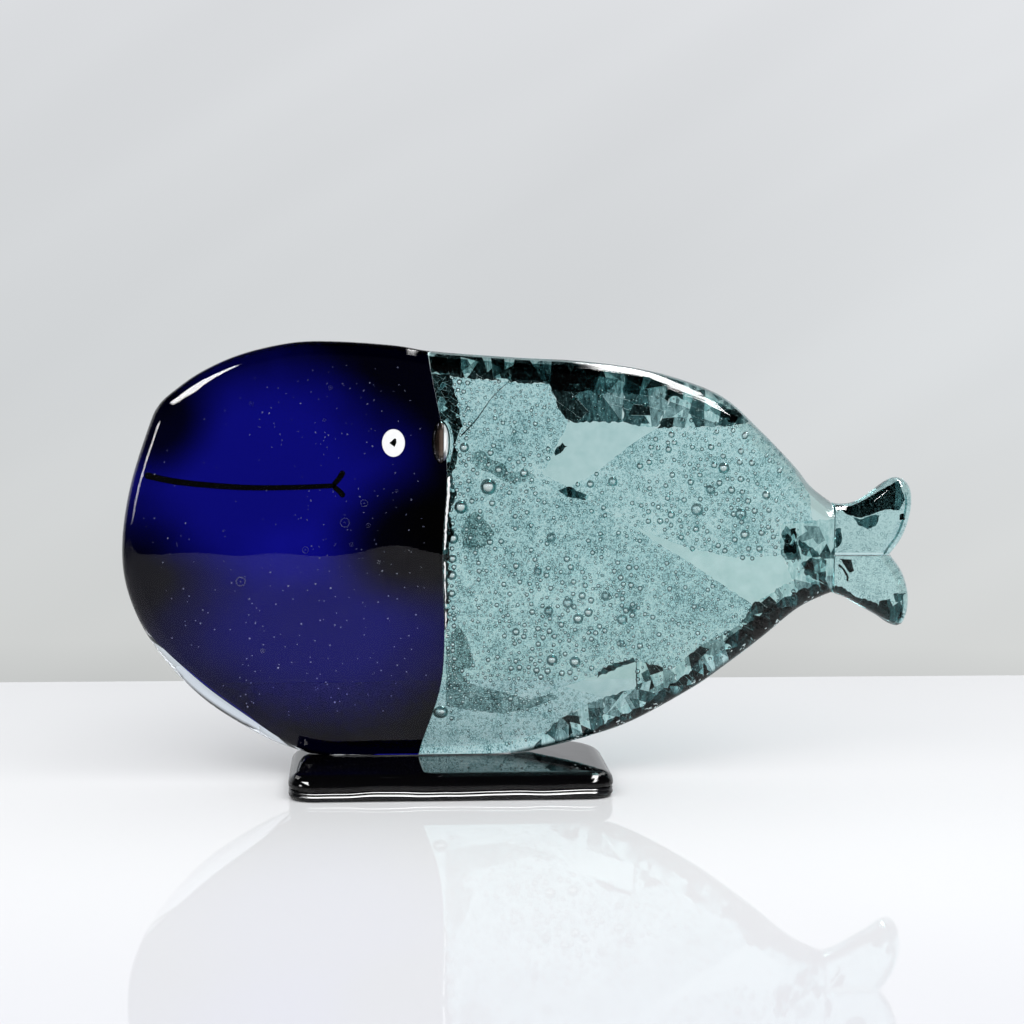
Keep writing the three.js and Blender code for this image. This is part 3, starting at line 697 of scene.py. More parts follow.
def ringed(name, points, levels, spacing, closed=False):
    """Edges of an outline extruded through (inset, depth) levels; the last ring gets a face."""
    ring = drawn_in(evenly(points, spacing), levels[0][0])
    piece = circle_onto(name, ring, -levels[0][1], "NOTHING")
    edit_all(piece)
    for (last, _), (inset, depth) in zip(levels, levels[1:]):
        bpy.ops.mesh.extrude_edges_move()
        bpy.ops.object.mode_set(mode="OBJECT")
        ring = drawn_in(ring, inset - last)
        for corner, (x, z) in zip(piece.data.vertices[-len(ring) :], ring):
            corner.co = (x, -depth, z)
        bpy.ops.object.mode_set(mode="EDIT")
    bpy.ops.mesh.edge_face_add()
    bpy.ops.object.mode_set(mode="OBJECT")
    if closed:
        for part in (*piece.data.edges, *piece.data.polygons):
            part.select = all(i < len(ring) for i in part.vertices)
        for corner in piece.data.vertices:
            corner.select = corner.index < len(ring)
        bpy.ops.object.mode_set(mode="EDIT")
        bpy.ops.mesh.edge_face_add()
        bpy.ops.object.mode_set(mode="OBJECT")
    return piece


def face_out(piece, shift=(0, 0, 0)):
    """Turns every face outwards and moves the piece."""
    edit_all(piece)
    bpy.ops.mesh.normals_make_consistent(inside=False)
    bpy.ops.transform.translate(value=shift)
    bpy.ops.object.mode_set(mode="OBJECT")


def lay_flat(piece):
    """Turns a piece that was drawn upright so that its depth points up."""
    edit_all(piece)
    bpy.ops.transform.rotate(value=math.pi / 2, orient_axis="X", center_override=(0, 0, 0))
    bpy.ops.object.mode_set(mode="OBJECT")
    return piece


def rounded_slab(
    name, points, reach, half=HALF_SLAB, middle=MIDDLE_Y, steps=10, spacing=SLAB_SPACING
):
    """A slab whose rim is rounded over a given reach."""
    turns = [math.pi / 2 * i / steps for i in range(steps + 1)]
    levels = [(reach * (1 - math.cos(t)), half * math.sin(t)) for t in turns]
    levels.append((reach * FACE_START, half))
    piece = ringed(name, points, levels, spacing)
    finish_with(piece, "MIRROR", use_axis=(False, True, False), merge_threshold=MERGE_DISTANCE)
    face_out(piece, (0, middle, 0))
    return piece


def trim(piece, point, normal):
    """Cuts off what lies beyond a plane and closes the cut."""
    edit_all(piece)
    bpy.ops.mesh.bisect(
        plane_co=point, plane_no=normal, use_fill=True, clear_outer=True, threshold=CUT_TOLERANCE
    )
    bpy.ops.object.mode_set(mode="OBJECT")


def cut(piece, tool, operation="DIFFERENCE"):
    """Cuts a piece with a tool, which is then thrown away."""
    finish_with(piece, "BOOLEAN", object=tool, operation=operation, solver="MANIFOLD")
    bpy.data.objects.remove(tool)


def smooth(piece, degrees=40):
    """Smooth shading with crisp edges past an angle."""
    activate(piece)
    bpy.ops.object.shade_smooth_by_angle(angle=math.radians(degrees))
    return piece


def join(piece, *others):
    """Joins other pieces into one."""
    activate(piece)
    for other in others:
        other.select_set(True)
    bpy.ops.object.join()


def dress(piece, material, slot, *nodes):
    """Gives a piece its finish, its body and the CAD nodes that it stands for."""
    mesh = piece.data
    if material:
        mesh.materials.clear()
        mesh.materials.append(material)
    else:
        for face in mesh.polygons:
            face.material_index %= len(BROKEN_TONES)
        while len(mesh.materials) > len(BROKEN_TONES):
            mesh.materials.pop()
    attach(piece, "root")
    if nodes:
        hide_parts(*nodes)


# Bubbles: holes in the glass, so their faces look inwards


def ball(radii, centre=(0, 0, 0), detail=3):
    """A round cavity's shape."""
    deselect()
    bpy.ops.mesh.primitive_ico_sphere_add(subdivisions=detail, radius=1)
    piece = bpy.context.object
    bpy.ops.object.mode_set(mode="EDIT")
    bpy.ops.transform.resize(value=radii)
    bpy.ops.transform.translate(value=centre)
    bpy.ops.object.mode_set(mode="OBJECT")
    return piece


def seed_shape():
    """A small bubble of a few dozen faces."""
    deselect()
    bpy.ops.mesh.primitive_uv_sphere_add(segments=8, ring_count=5, radius=1)
    return bpy.context.object


def ring_shape():
    """A bubble's bright edge as a ring facing the viewer: a painted highlight."""
    deselect()
    bpy.ops.mesh.primitive_torus_add(
        major_segments=24, minor_segments=6, major_radius=0.85, minor_radius=0.14
    )
    return lay_flat(bpy.context.object)


def plug_shape():
    """A short post along Y that clears a bubble out of a film."""
    deselect()
    bpy.ops.mesh.primitive_cylinder_add(vertices=10, radius=1, depth=2)
    return lay_flat(bpy.context.object)


def holes(name, shape, places, rounded):
    """One mesh of many copies of a shape; round ones have their faces turned inwards."""
    corners = np.array([(*v.co, 1) for v in shape.data.vertices])
    faces = [list(f.vertices)[:: -1 if rounded else 1] for f in shape.data.polygons]
    all_corners = np.concatenate([corners @ np.array(m).T for m in places])[:, :3]
    all_faces = [[i + n * len(corners) for i in f] for n in range(len(places)) for f in faces]
    bpy.data.objects.remove(shape)
    piece = mesh_piece(name, all_corners.tolist(), all_faces)
    piece.data.polygons.foreach_set("use_smooth", [rounded] * len(all_faces))
    piece.data.update()
    return piece


def inside(point, ring):
    """True where a point lies inside an outline."""
    (x, z), after = point, np.roll(ring, -1, 0)
    over = (ring[:, 1] > z) != (after[:, 1] > z)
    slope = (after[:, 0] - ring[:, 0]) / np.where(over, after[:, 1] - ring[:, 1], 1)
    return np.count_nonzero(over & (x < ring[:, 0] + slope * (z - ring[:, 1]))) % 2 == 1


class Room:
    """Keeps the holes in a piece of glass apart and away from its rim."""

    cell = 4 * MM

    def __init__(self, ring):
        self.ring = ring
        self.taken = {}

    def near(self, x, z):
        """Holes in the cells around a place."""
        column, row = math.floor(x / self.cell), math.floor(z / self.cell)
        for i in (-1, 0, 1):
            for j in (-1, 0, 1):
                yield from self.taken.get((column + i, row + j), ())

    def free(self, x, z, radius, rim):
        """True where a hole fits."""
        if any(math.dist((x, z), hole[:2]) < radius + hole[2] for hole in self.near(x, z)):
            return False
        if not inside((x, z), self.ring):
            return False
        return np.min(np.hypot(*(self.ring - (x, z)).T)) > radius + rim

    def take(self, x, z, radius):
        """Notes a hole."""
        place = (math.floor(x / self.cell), math.floor(z / self.cell))
        self.taken.setdefault(place, []).append((x, z, radius + BUBBLE_GAP))


def scaled(x, y, z, size):
    """A place and a size as one matrix."""
    return Matrix.Translation((x, y, z)) @ Matrix.Diagonal((*size, 1))


# Outlines


def spline(points, steps):
    """Points along a smooth curve through the given ones."""
    ends = [points[0], *points, points[-1]]
    line = []
    for i in range(steps + 1):
        at = (len(points) - 1) * i / steps
        span = min(int(at), len(points) - 2)
        t = at - span
        a, b, c, d = (Vector(p) for p in ends[span : span + 4])
        v0, v1 = (c - a) / 2, (d - b) / 2
        line.append(
            (2 * b - 2 * c + v0 + v1) * t**3 + (-3 * b + 3 * c - 2 * v0 - v1) * t**2 + v0 * t + b
        )
    return line


def height(share):
    """Height of a share of the whale above its foot."""
    return FOOT_Z + share * WHALE_HEIGHT


def head_point(place):
    """A place in the head from its shares."""
    return (SEAM_X - place[0] * HEAD_LENGTH, height(place[1]))


def body_point(place):
    """A place in the body from its shares."""
    return (SEAM_X + place[0] * BODY_LENGTH, height(place[1]))


def body_points(places):
    """An outline in the body from its shares."""
    return [body_point(p) for p in places]


def shard_points(corners):
    """A shard's outline from the names of its corners."""
    return body_points(CORNER[c] for c in corners.split())


def spot(behind, up):
    """A place from its distances in mm, behind the seam and above the foot."""
    return SEAM_X + behind * MM, FOOT_Z + up * MM


def whale_outline(steps=330):
    """The whole whale's outline, carried straight on past the tail joint."""
    line = spline(
        body_points(BELLY_OUTLINE)
        + [head_point(p) for p in HEAD_OUTLINE]
        + body_points(BACK_OUTLINE),
        steps,
    )
    past = TAIL_X + OVERSIZE
    return [Vector((past, line[0].y)), *line, Vector((past, line[-1].y))]


def slab_outline(inset=SLAB_INSET):
    """The whale's outline drawn in a little, so that the glass stays inside the CAD's box."""
    return drawn_in(evenly(whale_outline(), SLAB_SPACING), inset)


def whale_slab(name, sizes):
    """The whole whale as one slab, ground flat at its foot."""
    slab = rounded_slab(name, slab_outline(), sizes.rim_round)
    trim(slab, (0, 0, FOOT_Z), (0, 0, -1))
    return slab


def seam_line(offset, steps=60):
    """The seam of head and body, moved along X."""
    low, high = FOOT_Z - OVERSIZE, FOOT_Z + WHALE_HEIGHT + OVERSIZE
    points = [(-SEAM_FOOT_LEAN, low)]
    points += [(behind, height(up)) for behind, up in SEAM_OUTLINE]
    points += [(-SEAM_TOP_LEAN, high)]
    return [Vector((SEAM_X + offset + p.x, p.y)) for p in spline(points, steps)]


def seam_tool(offset, side):
    """A plate that fills everything on one side of the seam."""
    line = seam_line(offset)
    far = SEAM_X + side * TOOL_REACH
    ring = [*line, Vector((far, line[-1].y)), Vector((far, line[0].y))]
    return through("seam_tool", ring, TOOL_CLEARANCE)


def inner_outline(inset, end_x):
    """The whale's outline drawn in from its rim and stopped before the tail and the foot."""
    return [(min(x, end_x), max(z, FOOT_Z + FOOT_GAP)) for x, z in slab_outline(inset)]


def strip(line, widths):
    """The outline of a thread along a line, with round ends; the width changes along it."""
    line = flat_array(line)
    run = np.gradient(line, axis=0)
    run /= np.linalg.norm(run, axis=1, keepdims=True)
    reach = np.linspace(*widths, len(line))[:, None] / 2
    side = left_of(run) * reach
    turns = np.linspace(0, math.pi, END_STEPS + 1)[1:-1, None]
    end = line[-1] + side[-1] * np.cos(turns) + run[-1] * reach[-1] * np.sin(turns)
    start = line[0] - side[0] * np.cos(turns) - run[0] * reach[0] * np.sin(turns)
    return np.concatenate([line + side, end, (line - side)[::-1], start])


def oval(centre, width, depth, count=40):
    """An oval outline."""
    turns = [math.tau * i / count for i in range(count)]
    return [
        (centre[0] + width / 2 * math.cos(t), centre[1] + depth / 2 * math.sin(t)) for t in turns
    ]


# Materials

SMOOTH = {"interpolation_type": "SMOOTHSTEP"}


def node(tree, kind, inputs=(), output=0, stops=(), **settings):
    """Adds a node with its settings, values, links and colour stops, and gives one of its outputs.

    Inputs go by name or by number. An output of None gives all of them."""
    made = tree.nodes.new("ShaderNode" + kind)
    for key, value in settings.items():
        setattr(made, key, value)
    pairs = inputs.items() if isinstance(inputs, dict) else enumerate(inputs)
    for key, value in pairs:
        if isinstance(value, bpy.types.NodeSocket):
            tree.links.new(value, made.inputs[key])
        else:
            made.inputs[key].default_value = value
    for number, (position, colour) in enumerate(stops):
        elements = made.color_ramp.elements
        element = elements[number] if number < len(elements) else elements.new(position)
        element.position = position
        element.color = (*(linear(colour) if isinstance(colour, str) else colour), 1)
    return made.outputs if output is None else made.outputs[output]


def new_material(name):
    """An empty material, the function that adds nodes to it, and its object coordinates."""
    material = bpy.data.materials.new(name)
    material.use_nodes = True
    material.node_tree.nodes.clear()
    add = partial(node, material.node_tree)
    return material, add, add("TexCoord", output="Object")


def glass(name, absorbed, density, bump_mm, wave_mm):
    """Fire-polished art glass: clear surface, coloured by the depth that light crosses."""
    material, add, place = new_material(name)
    waves = add("TexNoise", {"Vector": place, "Scale": 1 / (wave_mm * MM), "Detail": 1.0})
    skin = add("Bump", {"Height": waves, "Distance": bump_mm * MM})
    surface = add(
        "BsdfPrincipled",
        {
            "Base Color": (1, 1, 1, 1), "Roughness": 0.0, "IOR": GLASS_IOR,
            "Transmission Weight": 1.0, "Normal": skin,
        },
    )
    volume = add("VolumeAbsorption", {"Color": (*linear(absorbed), 1), "Density": density})
    add("OutputMaterial", {"Surface": surface, "Volume": volume}, None)
    return material


def cobalt_glass():
    """Deep blue transparent glass, almost black where it is thick."""
    return glass("cobalt_glass_fire_polished", "#0000e7", density=560, bump_mm=0.22, wave_mm=30)


def aqua_glass():
    """Pale sea-green transparent glass."""
    return glass("aqua_glass_fire_polished", "#19f9f9", density=31, bump_mm=0.04, wave_mm=9)


def painted_glow_glass():
    """Pale blue glass along the head's lower rim: a painted glow of light."""
    return glass("pale_blue_painted_glow_glass", "#a0cef3", density=34, bump_mm=0.05, wave_mm=9)


def adhesive():
    """Clear light-cured adhesive."""
    return glass("clear_cured_adhesive", "#eff6f6", density=40, bump_mm=0.02, wave_mm=3)


def see_through(material, add, tint, milk=0.0):
    """Finishes a plate inside the glass: light crosses both of its faces, so each takes a root."""
    face = add("Gamma", {"Color": tint, "Gamma": 0.5})
    surface = add("BsdfTransparent", {"Color": face})
    if milk:
        veil = add("BsdfTranslucent", {"Color": face})
        surface = add("MixShader", (milk, surface, veil))
    add("OutputMaterial", {"Surface": surface}, None)
    return material


def film_material(name, dark, middle, light):
    """Seedy glass: a sandy veil with pin-head bubbles, each a bright dot of painted highlight in a
    dark ring of painted shade.
    """
    material, add, place = new_material(name)
    sand, cloud, streak = (
        add("TexNoise", {"Vector": place, "Scale": 1 / (grain_mm * MM), "Detail": detail})
        for grain_mm, detail in ((0.42, 2.5), (9, 3.0), (2.2, 2.0))
    )
    tone = add("Math", (cloud, 0.3, sand), operation="MULTIPLY_ADD")
    tone = add("Math", (streak, 0.25, tone), operation="MULTIPLY_ADD")
    axes = add("SeparateXYZ", (place,), None)
    flat = add("CombineXYZ", (axes["X"], axes["Z"]))
    pin_spacing = 1.5 * MM
    pins = add(
        "TexVoronoi", {"Vector": flat, "Scale": 1 / pin_spacing}, None, voronoi_dimensions="2D"
    )
    share = add("SeparateColor", (pins["Color"],), None)
    reach = add("Math", (share[0], 0.16, 0.1), operation="MULTIPLY_ADD")
    apart = add("Math", (pins["Distance"], reach), operation="DIVIDE")
    shown = add("Math", (share[1], 0.25), operation="GREATER_THAN")
    # Each bubble: a painted highlight dot inside a ring of painted shade
    dot = add("MapRange", (apart, 0.35, 0.65, 0.3, 0.0), **SMOOTH)
    ring_inside = add("MapRange", (apart, 0.55, 0.75, 0.0, 1.0), **SMOOTH)
    ring_outside = add("MapRange", (apart, 0.95, 1.3, 0.26, 0.0), **SMOOTH)
    ring = add("Math", (ring_inside, ring_outside), operation="MULTIPLY")
    for mark, operation in ((dot, "ADD"), (ring, "SUBTRACT")):
        mark = add("Math", (mark, shown), operation="MULTIPLY")
        tone = add("Math", (tone, mark), operation=operation)
    tint = add("ValToRGB", (tone,), stops=((0.57, dark), (0.74, middle), (0.88, light)))
    return see_through(material, add, tint, milk=0.1)


def broken_material(name, dark, light):
    """One tone of broken glass: drawn out in streaks, with bright specks of crushed edge that are
    also painted sparkle.
    """
    material, add, place = new_material(name)
    drawn = add("VectorMath", (place, (1, 1, 0.35)), operation="MULTIPLY")
    streak = add("TexNoise", {"Vector": drawn, "Scale": 1 / (0.9 * MM), "Detail": 3.0})
    sand = add("TexNoise", {"Vector": place, "Scale": 1 / (0.5 * MM), "Detail": 2.0})
    tint = add("ValToRGB", (streak,), stops=((0.36, dark), (0.64, light)))
    # Near-white specks: crushed edge, and painted sparkle
    specks = add("MapRange", (sand, 0.61, 0.71, 0.0, 0.9), **SMOOTH)
    crushed_and_sparkle = (*linear("#f2fbfb"), 1)
    mixed = add("Mix", {"Factor": specks, 6: tint, 7: crushed_and_sparkle}, 2, data_type="RGBA")
    return see_through(material, add, mixed)


def seed_material(name, middle, edge):
    """Bubbles in the cobalt: milky pin-heads and rings whose pale colour is a painted highlight for
    the light they catch, paler towards their edges.
    """
    material, add, place = new_material(name)
    cloud = add("TexNoise", {"Vector": place, "Scale": 1 / (8 * MM), "Detail": 1.0})
    tint = add("ValToRGB", (cloud,), stops=((0.3, "#8d95c4"), (0.7, "#d5daf2")))
    milk = add("BsdfDiffuse", {"Color": tint})
    clear = add("BsdfTransparent")
    # Paler where the bubble turns away from the view: a painted bright edge
    facing = add("LayerWeight", {"Blend": 0.35}, "Facing")
    edges = add("MapRange", (facing, 0.2, 0.9, middle, edge), **SMOOTH)
    up = add("SeparateXYZ", (place,), "Z")
    fainter = add("MapRange", (up, FADE_FROM, FADE_TO, LOW_SEEDS, HIGH_SEEDS), **SMOOTH)
    share = add("Math", (edges, fainter), operation="MULTIPLY")
    surface = add("MixShader", (share, clear, milk))
    add("OutputMaterial", {"Surface": surface}, None)
    return material


def clear_material():
    """Pale aqua glass without bubbles."""
    material, add, place = new_material("clear_aqua_glass")
    cloud = add("TexNoise", {"Vector": place, "Scale": 1 / (3 * MM), "Detail": 3.0})
    tint = add("ValToRGB", (cloud,), stops=((0.3, "#e3f1f1"), (0.7, "#f6fdfd")))
    return see_through(material, add, tint)


def core_material():
    """The head's middle sheet: almost black glass with two painted pools of light, and painted
    shade by the seam and the brow.
    """
    material, add, place = new_material("cobalt_core_painted_light")
    cloud = add("TexNoise", {"Vector": place, "Scale": 1 / (20 * MM), "Detail": 2.0})

    def pool(behind, up, reach, even, middle, outside):
        x, z = spot(behind, up)
        offset = add("VectorMath", (place, (x, MIDDLE_Y, z)), operation="SUBTRACT")
        ease = (1 / (reach[0] * MM), 0, 1 / (reach[1] * MM))
        share = add("VectorMath", (offset, ease), operation="MULTIPLY")
        away = add("VectorMath", (share,), "Value", operation="LENGTH")
        away = add("Math", (cloud, CLOUD_SHARE, away), operation="MULTIPLY_ADD")
        # The noise is about a half, so it moves the edge out by half its share
        shift = CLOUD_SHARE / 2
        return add("MapRange", (away, even + shift, 1 + shift, middle, outside), **SMOOTH)

    # Painted light from the two pools, then painted shade by the seam and the brow
    lit = add("Math", (pool(*UPPER_PAINTED_LIGHT), pool(*LOWER_PAINTED_LIGHT)), operation="ADD")
    shade = add("Math", (pool(*SEAM_PAINTED_SHADE), pool(*BROW_PAINTED_SHADE)), operation="MULTIPLY")
    tint = add("Math", (lit, shade), operation="MULTIPLY")
    return see_through(material, add, tint)


def painted_reflection_material(pocket):
    """The inside of a trapped air pocket: a painted reflection, dark with a bright painted crescent
    to the right.
    """
    material, add, place = new_material("trapped_air_painted_reflection")
    across = [corner.co.x for corner in pocket.data.vertices]
    axis = add("SeparateXYZ", (place,), "X")
    share = add("MapRange", (axis, min(across), max(across), 0.0, 1.0))
    tint = add(
        "ValToRGB",
        (share,),
        stops=(
            (0.08, "#050404"), (0.38, "#1d1511"), (0.6, "#5d5047"), (0.68, "#2b2421"),
            (0.74, "#eef2f2"), (0.9, "#ffffff"), (1.0, "#8aa4a6"),
        ),
    )
    surface = add("BsdfPrincipled", {"Base Color": tint, "Roughness": 0.12, "IOR": 1.45})
    add("OutputMaterial", {"Surface": surface}, None)
    return material


def opaque_glass(name, colour, roughness, bump_mm=0.02, wave_mm=4.5):
    """Opaque art glass with a fire-polished skin, a little darker in places."""
    material, add, place = new_material(name)
    waves = add("TexNoise", {"Vector": place, "Scale": 1 / (wave_mm * MM), "Detail": 2.0})
    skin = add("Bump", {"Height": waves, "Distance": bump_mm * MM})
    darker = [0.93 * c for c in colour]
    tint = add("ValToRGB", (waves,), stops=((0.2, darker), (0.8, list(colour))))
    surface = add(
        "BsdfPrincipled",
        {"Base Color": tint, "Roughness": roughness, "IOR": OPAQUE_GLASS_IOR, "Normal": skin},
    )
    add("OutputMaterial", {"Surface": surface}, None)
    return material


# Stage


def make_world():
    """Pale studio all round for what is seen straight through; a dark room in front in mirrors."""
    world = bpy.data.worlds.new("studio")
    bpy.context.scene.world = world
    world.use_nodes = True
    world.node_tree.nodes.clear()
    add = partial(node, world.node_tree)
    light = add("LightPath", output=None)
    way = add("TexCoord", output="Generated")
    axes = add("SeparateXYZ", (way,), None)
    rise = add("MapRange", (axes["Z"], -0.2, 0.2, 0.0, 1.0))
    backdrop = ((0.05, "#c2c4c3"), (0.12, "#cfd1d0"), (0.45, "#d4d7d9"), (0.9, "#dcdee1"))
    pale = add("ValToRGB", (rise,), stops=backdrop)
    # Folds run slantwise, long one way and narrow the other
    across = add("VectorMath", (way, (5.5, 0, -9)), "Value", operation="DOT_PRODUCT")
    lengthwise = add("VectorMath", (way, (1.2, 0, 0.8)), "Value", operation="DOT_PRODUCT")
    cloth = add("CombineXYZ", (across, lengthwise))
    cloth = add("TexNoise", {"Vector": cloth, "Scale": 1.0, "Detail": 2.0})
    folds = add("MapRange", (cloth, 0.3, 0.75, 0.965, 1.035), **SMOOTH)
    side = add("MapRange", (axes["X"], 0.08, 0.32, 0.99, 1.08), **SMOOTH)
    ceiling = add("MapRange", (axes["Z"], 0.35, 0.6, 1.0, 0.03))
    for dimmed in (add("Math", (folds, side), operation="MULTIPLY"), ceiling):
        pale = add("VectorMath", {0: pale, "Scale": dimmed}, operation="SCALE")
    behind = add("MapRange", (axes["Y"], 0.3, 0.6, 0.03, 1.0))
    room = add("VectorMath", {0: pale, "Scale": behind}, operation="SCALE")
    unturned = add("Math", (light["Glossy Depth"], 0.5), operation="LESS_THAN")
    crossing = add("Math", (light["Is Transmission Ray"], unturned), operation="MULTIPLY")
    straight = add("Math", (light["Is Camera Ray"], crossing), operation="MAXIMUM")
    seen = add("Mix", {"Factor": straight, 6: room, 7: pale}, 2, data_type="RGBA")
    even = (*linear("#cbcbcd"), 1)
    fill = add("Mix", {"Factor": light["Is Diffuse Ray"], 6: seen, 7: even}, 2, data_type="RGBA")
    # Softboxes show on the glass itself, and half as bright in the far wall seen through it
    outer = add("Math", (light["Transmission Depth"], 0.5), operation="LESS_THAN")
    outer = add("Math", (light["Is Glossy Ray"], outer), operation="MULTIPLY")
    off_glass = add("Math", (light["Transparent Depth"], FLOOR_CROSSINGS), operation="LESS_THAN")
    outer = add("Math", (outer, off_glass), operation="MULTIPLY")
    once = add("Math", (light["Glossy Depth"], 1.0, 0.1), operation="COMPARE")
    inner = add("Math", (light["Transmission Depth"], 2.0, 0.1), operation="COMPARE")
    inner = add("Math", (inner, once), operation="MULTIPLY")
    inner = add("Math", (inner, 0.5), operation="MULTIPLY")
    mirror = add("Math", (outer, inner), operation="MAXIMUM")
    glint = add("Math", (softboxes(add, axes, way), mirror), operation="MULTIPLY")
    total = add("VectorMath", (fill, glint), operation="ADD")
    add("OutputWorld", {"Surface": add("Background", {"Color": total})}, None)


def softboxes(add, axes, way):
    """Softboxes that fire-polished rims mirror, by degrees around and towards the viewer."""
    around = add("Math", (axes["Z"], axes["X"]), operation="ARCTAN2")
    around = add("Math", (around,), operation="DEGREES")
    ahead = add("Math", (axes["Y"], -1.0), operation="MULTIPLY")
    ahead = add("Math", (ahead,), operation="ARCSINE")
    ahead = add("Math", (ahead,), operation="DEGREES")

    def between(value, low, high, soft):
        above = add("Math", (value, low), operation="SUBTRACT")
        below = add("Math", (high, value), operation="SUBTRACT")
        rise, fall = (
            add("MapRange", (inside_by, 0.0, soft, 0.0, 1.0), **SMOOTH)
            for inside_by in (above, below)
        )
        return add("Math", (rise, fall), operation="MULTIPLY")

    def box(low_around, high_around, low_ahead, high_ahead):
        width = between(around, low_around, high_around, 3.0)
        length = between(ahead, low_ahead, high_ahead, 7.0)
        return add("Math", (width, length), operation="MULTIPLY")

    left_low = add("MapRange", (around, 114, 136, 30, 12))
    left_high = add("MapRange", (around, 114, 136, 40, 66))
    left = box(113.0, 138.0, left_low, left_high)
    dimming = add("MapRange", (around, 163, 180, 0.7, 0.16))
    edge = add("Math", (box(162.0, 181.0, 21.0, 40.0), dimming), operation="MULTIPLY")
    crumple = add("TexNoise", {"Vector": way, "Scale": 1 / 0.09, "Detail": 2.0})
    crumple = add("MapRange", (crumple, 0.3, 0.7, -9.0, 9.0))
    limits = []
    for steep, gentle in (((21, -44), (24, 0)), ((58, 20), (8, 0))):
        steep = add("MapRange", (around, 58, 70, *steep))
        gentle = add("MapRange", (around, 35, 58, *gentle))
        limit = add("Math", (steep, gentle), operation="ADD")
        limits.append(add("Math", (limit, crumple), operation="ADD"))
    right = box(36.0, 79.0, *limits)
    lit = add("Math", (edge, right), operation="MAXIMUM")
    lit = add("Math", (left, lit), operation="MAXIMUM")
    return add("Math", (lit, SOFTBOX_STRENGTH), operation="MULTIPLY")


def stage_sheet(name, material, up):
    """A flat sheet whose far edge lies a hand's breadth behind the whale."""
    deselect()
    bpy.ops.mesh.primitive_plane_add(size=1)
    sheet = bpy.context.object
    sheet.name = sheet.data.name = name
    for corner in sheet.data.vertices:
        x, y = (FLOOR_HIGH[i] if corner.co[i] > 0 else FLOOR_LOW[i] for i in (0, 1))
        corner.co = (x, y, up)
    sheet.data.materials.append(material)


def make_floor():
    """A glossy white floor under two coats of clear lacquer, which the world's rays count; painted
    shade makes it darker towards the viewer and greyer in mirrors.
    """
    white, add, place = new_material("glossy_white_sheet")
    light = add("LightPath", output=None)
    depth = add("SeparateXYZ", (place,), "Y")
    # Painted shade: the floor is darker towards the viewer, and greyer where mirrors show it
    near = add("MapRange", (depth, -0.22, -0.05, 0.0, 1.0), **SMOOTH)
    tint = add("ValToRGB", (near,), stops=((0.0, "#dddee2"), (1.0, "#f4f5f6")))
    painted_shade_in_mirrors = (*linear("#bcbcbc"), 1)
    tint = add("Mix", {"Factor": light["Is Glossy Ray"], 6: tint, 7: painted_shade_in_mirrors}, 2, data_type="RGBA")
    surface = add("BsdfPrincipled", {"Base Color": tint, "Roughness": 0.02, "IOR": 1.3})
    add("OutputMaterial", {"Surface": surface}, None)
    stage_sheet("floor", white, FLOOR_Z)
    lacquer, add, _ = new_material("clear_lacquer")
    add("OutputMaterial", {"Surface": add("BsdfTransparent")}, None)
    stage_sheet("floor_first_coat", lacquer, FIRST_COAT_Z)
    stage_sheet("floor_last_coat", lacquer, LAST_COAT_Z)


def lamp_at(name, around, ahead, distance, size, power):
    """A soft lamp at an angle around the whale and towards the viewer; mirrors don't show it."""
    around, ahead = math.radians(around), math.radians(ahead)
    outward = Vector((math.cos(around), 0, math.sin(around)))
    viewer = Vector((0, -1, 0))
    away = math.cos(ahead) * outward + math.sin(ahead) * viewer
    length = math.cos(ahead) * viewer - math.sin(ahead) * outward
    deselect()
    bpy.ops.object.light_add(type="AREA")
    lamp = bpy.context.object
    lamp.name = name
    lamp.data.shape = "RECTANGLE"
    lamp.data.size, lamp.data.size_y = size
    lamp.data.energy = power
    turn = Matrix((length, away.cross(length), away)).transposed().to_4x4()
    lamp.matrix_world = Matrix.Translation(away * distance) @ turn
    lamp.visible_camera = lamp.visible_glossy = lamp.visible_transmission = False
    return lamp


def make_camera():
    """The photograph's viewpoint."""
    forward = Vector(
        (
            math.sin(CAMERA_YAW) * math.cos(CAMERA_PITCH),
            math.cos(CAMERA_YAW) * math.cos(CAMERA_PITCH),
            -math.sin(CAMERA_PITCH),
        )
    )
    level = Vector((math.cos(CAMERA_YAW), -math.sin(CAMERA_YAW), 0))
    rise = level.cross(forward)
    right = math.cos(CAMERA_ROLL) * level + math.sin(CAMERA_ROLL) * rise
    up = math.cos(CAMERA_ROLL) * rise - math.sin(CAMERA_ROLL) * level
    deselect()
    bpy.ops.object.camera_add()
    camera = bpy.context.object
    camera.data.lens = CAMERA_LENS
    camera.data.clip_start = CAMERA_NEAR
    turn = Matrix((right, up, -forward)).transposed().to_4x4()
    camera.matrix_world = Matrix.Translation(Vector(CAMERA_PLACE) * MM) @ turn
    bpy.context.scene.camera = camera


# Settings


class WhaleSizes(bpy.types.PropertyGroup):
    """Sizes of the glass"""

    rim_round: bpy.props.FloatProperty(
        name="Rim rounding",
        description="How far the fire-polished rim rounds in from the outline",
        default=4.5 * MM,
        min=1 * MM,
        max=4.5 * MM,
        unit="LENGTH",
    )
    fluke_round: bpy.props.FloatProperty(
        name="Fluke rounding",
        description="How far the flukes' rim rounds in from their outline",
        default=2.2 * MM,
        min=0.5 * MM,
        max=3 * MM,
        unit="LENGTH",
    )
    base_ripple: bpy.props.FloatProperty(
        name="Base ripple",
        description="How much the base's edge waves",
        default=1.4 * MM,
        min=0,
        max=2 * MM,
        unit="LENGTH",
    )
    bubble_size: bpy.props.FloatProperty(
        name="Bubble size",
        description="Size of every bubble against the one that was measured",
        default=1,
        min=0.5,
        max=1.2,
        subtype="FACTOR",
    )


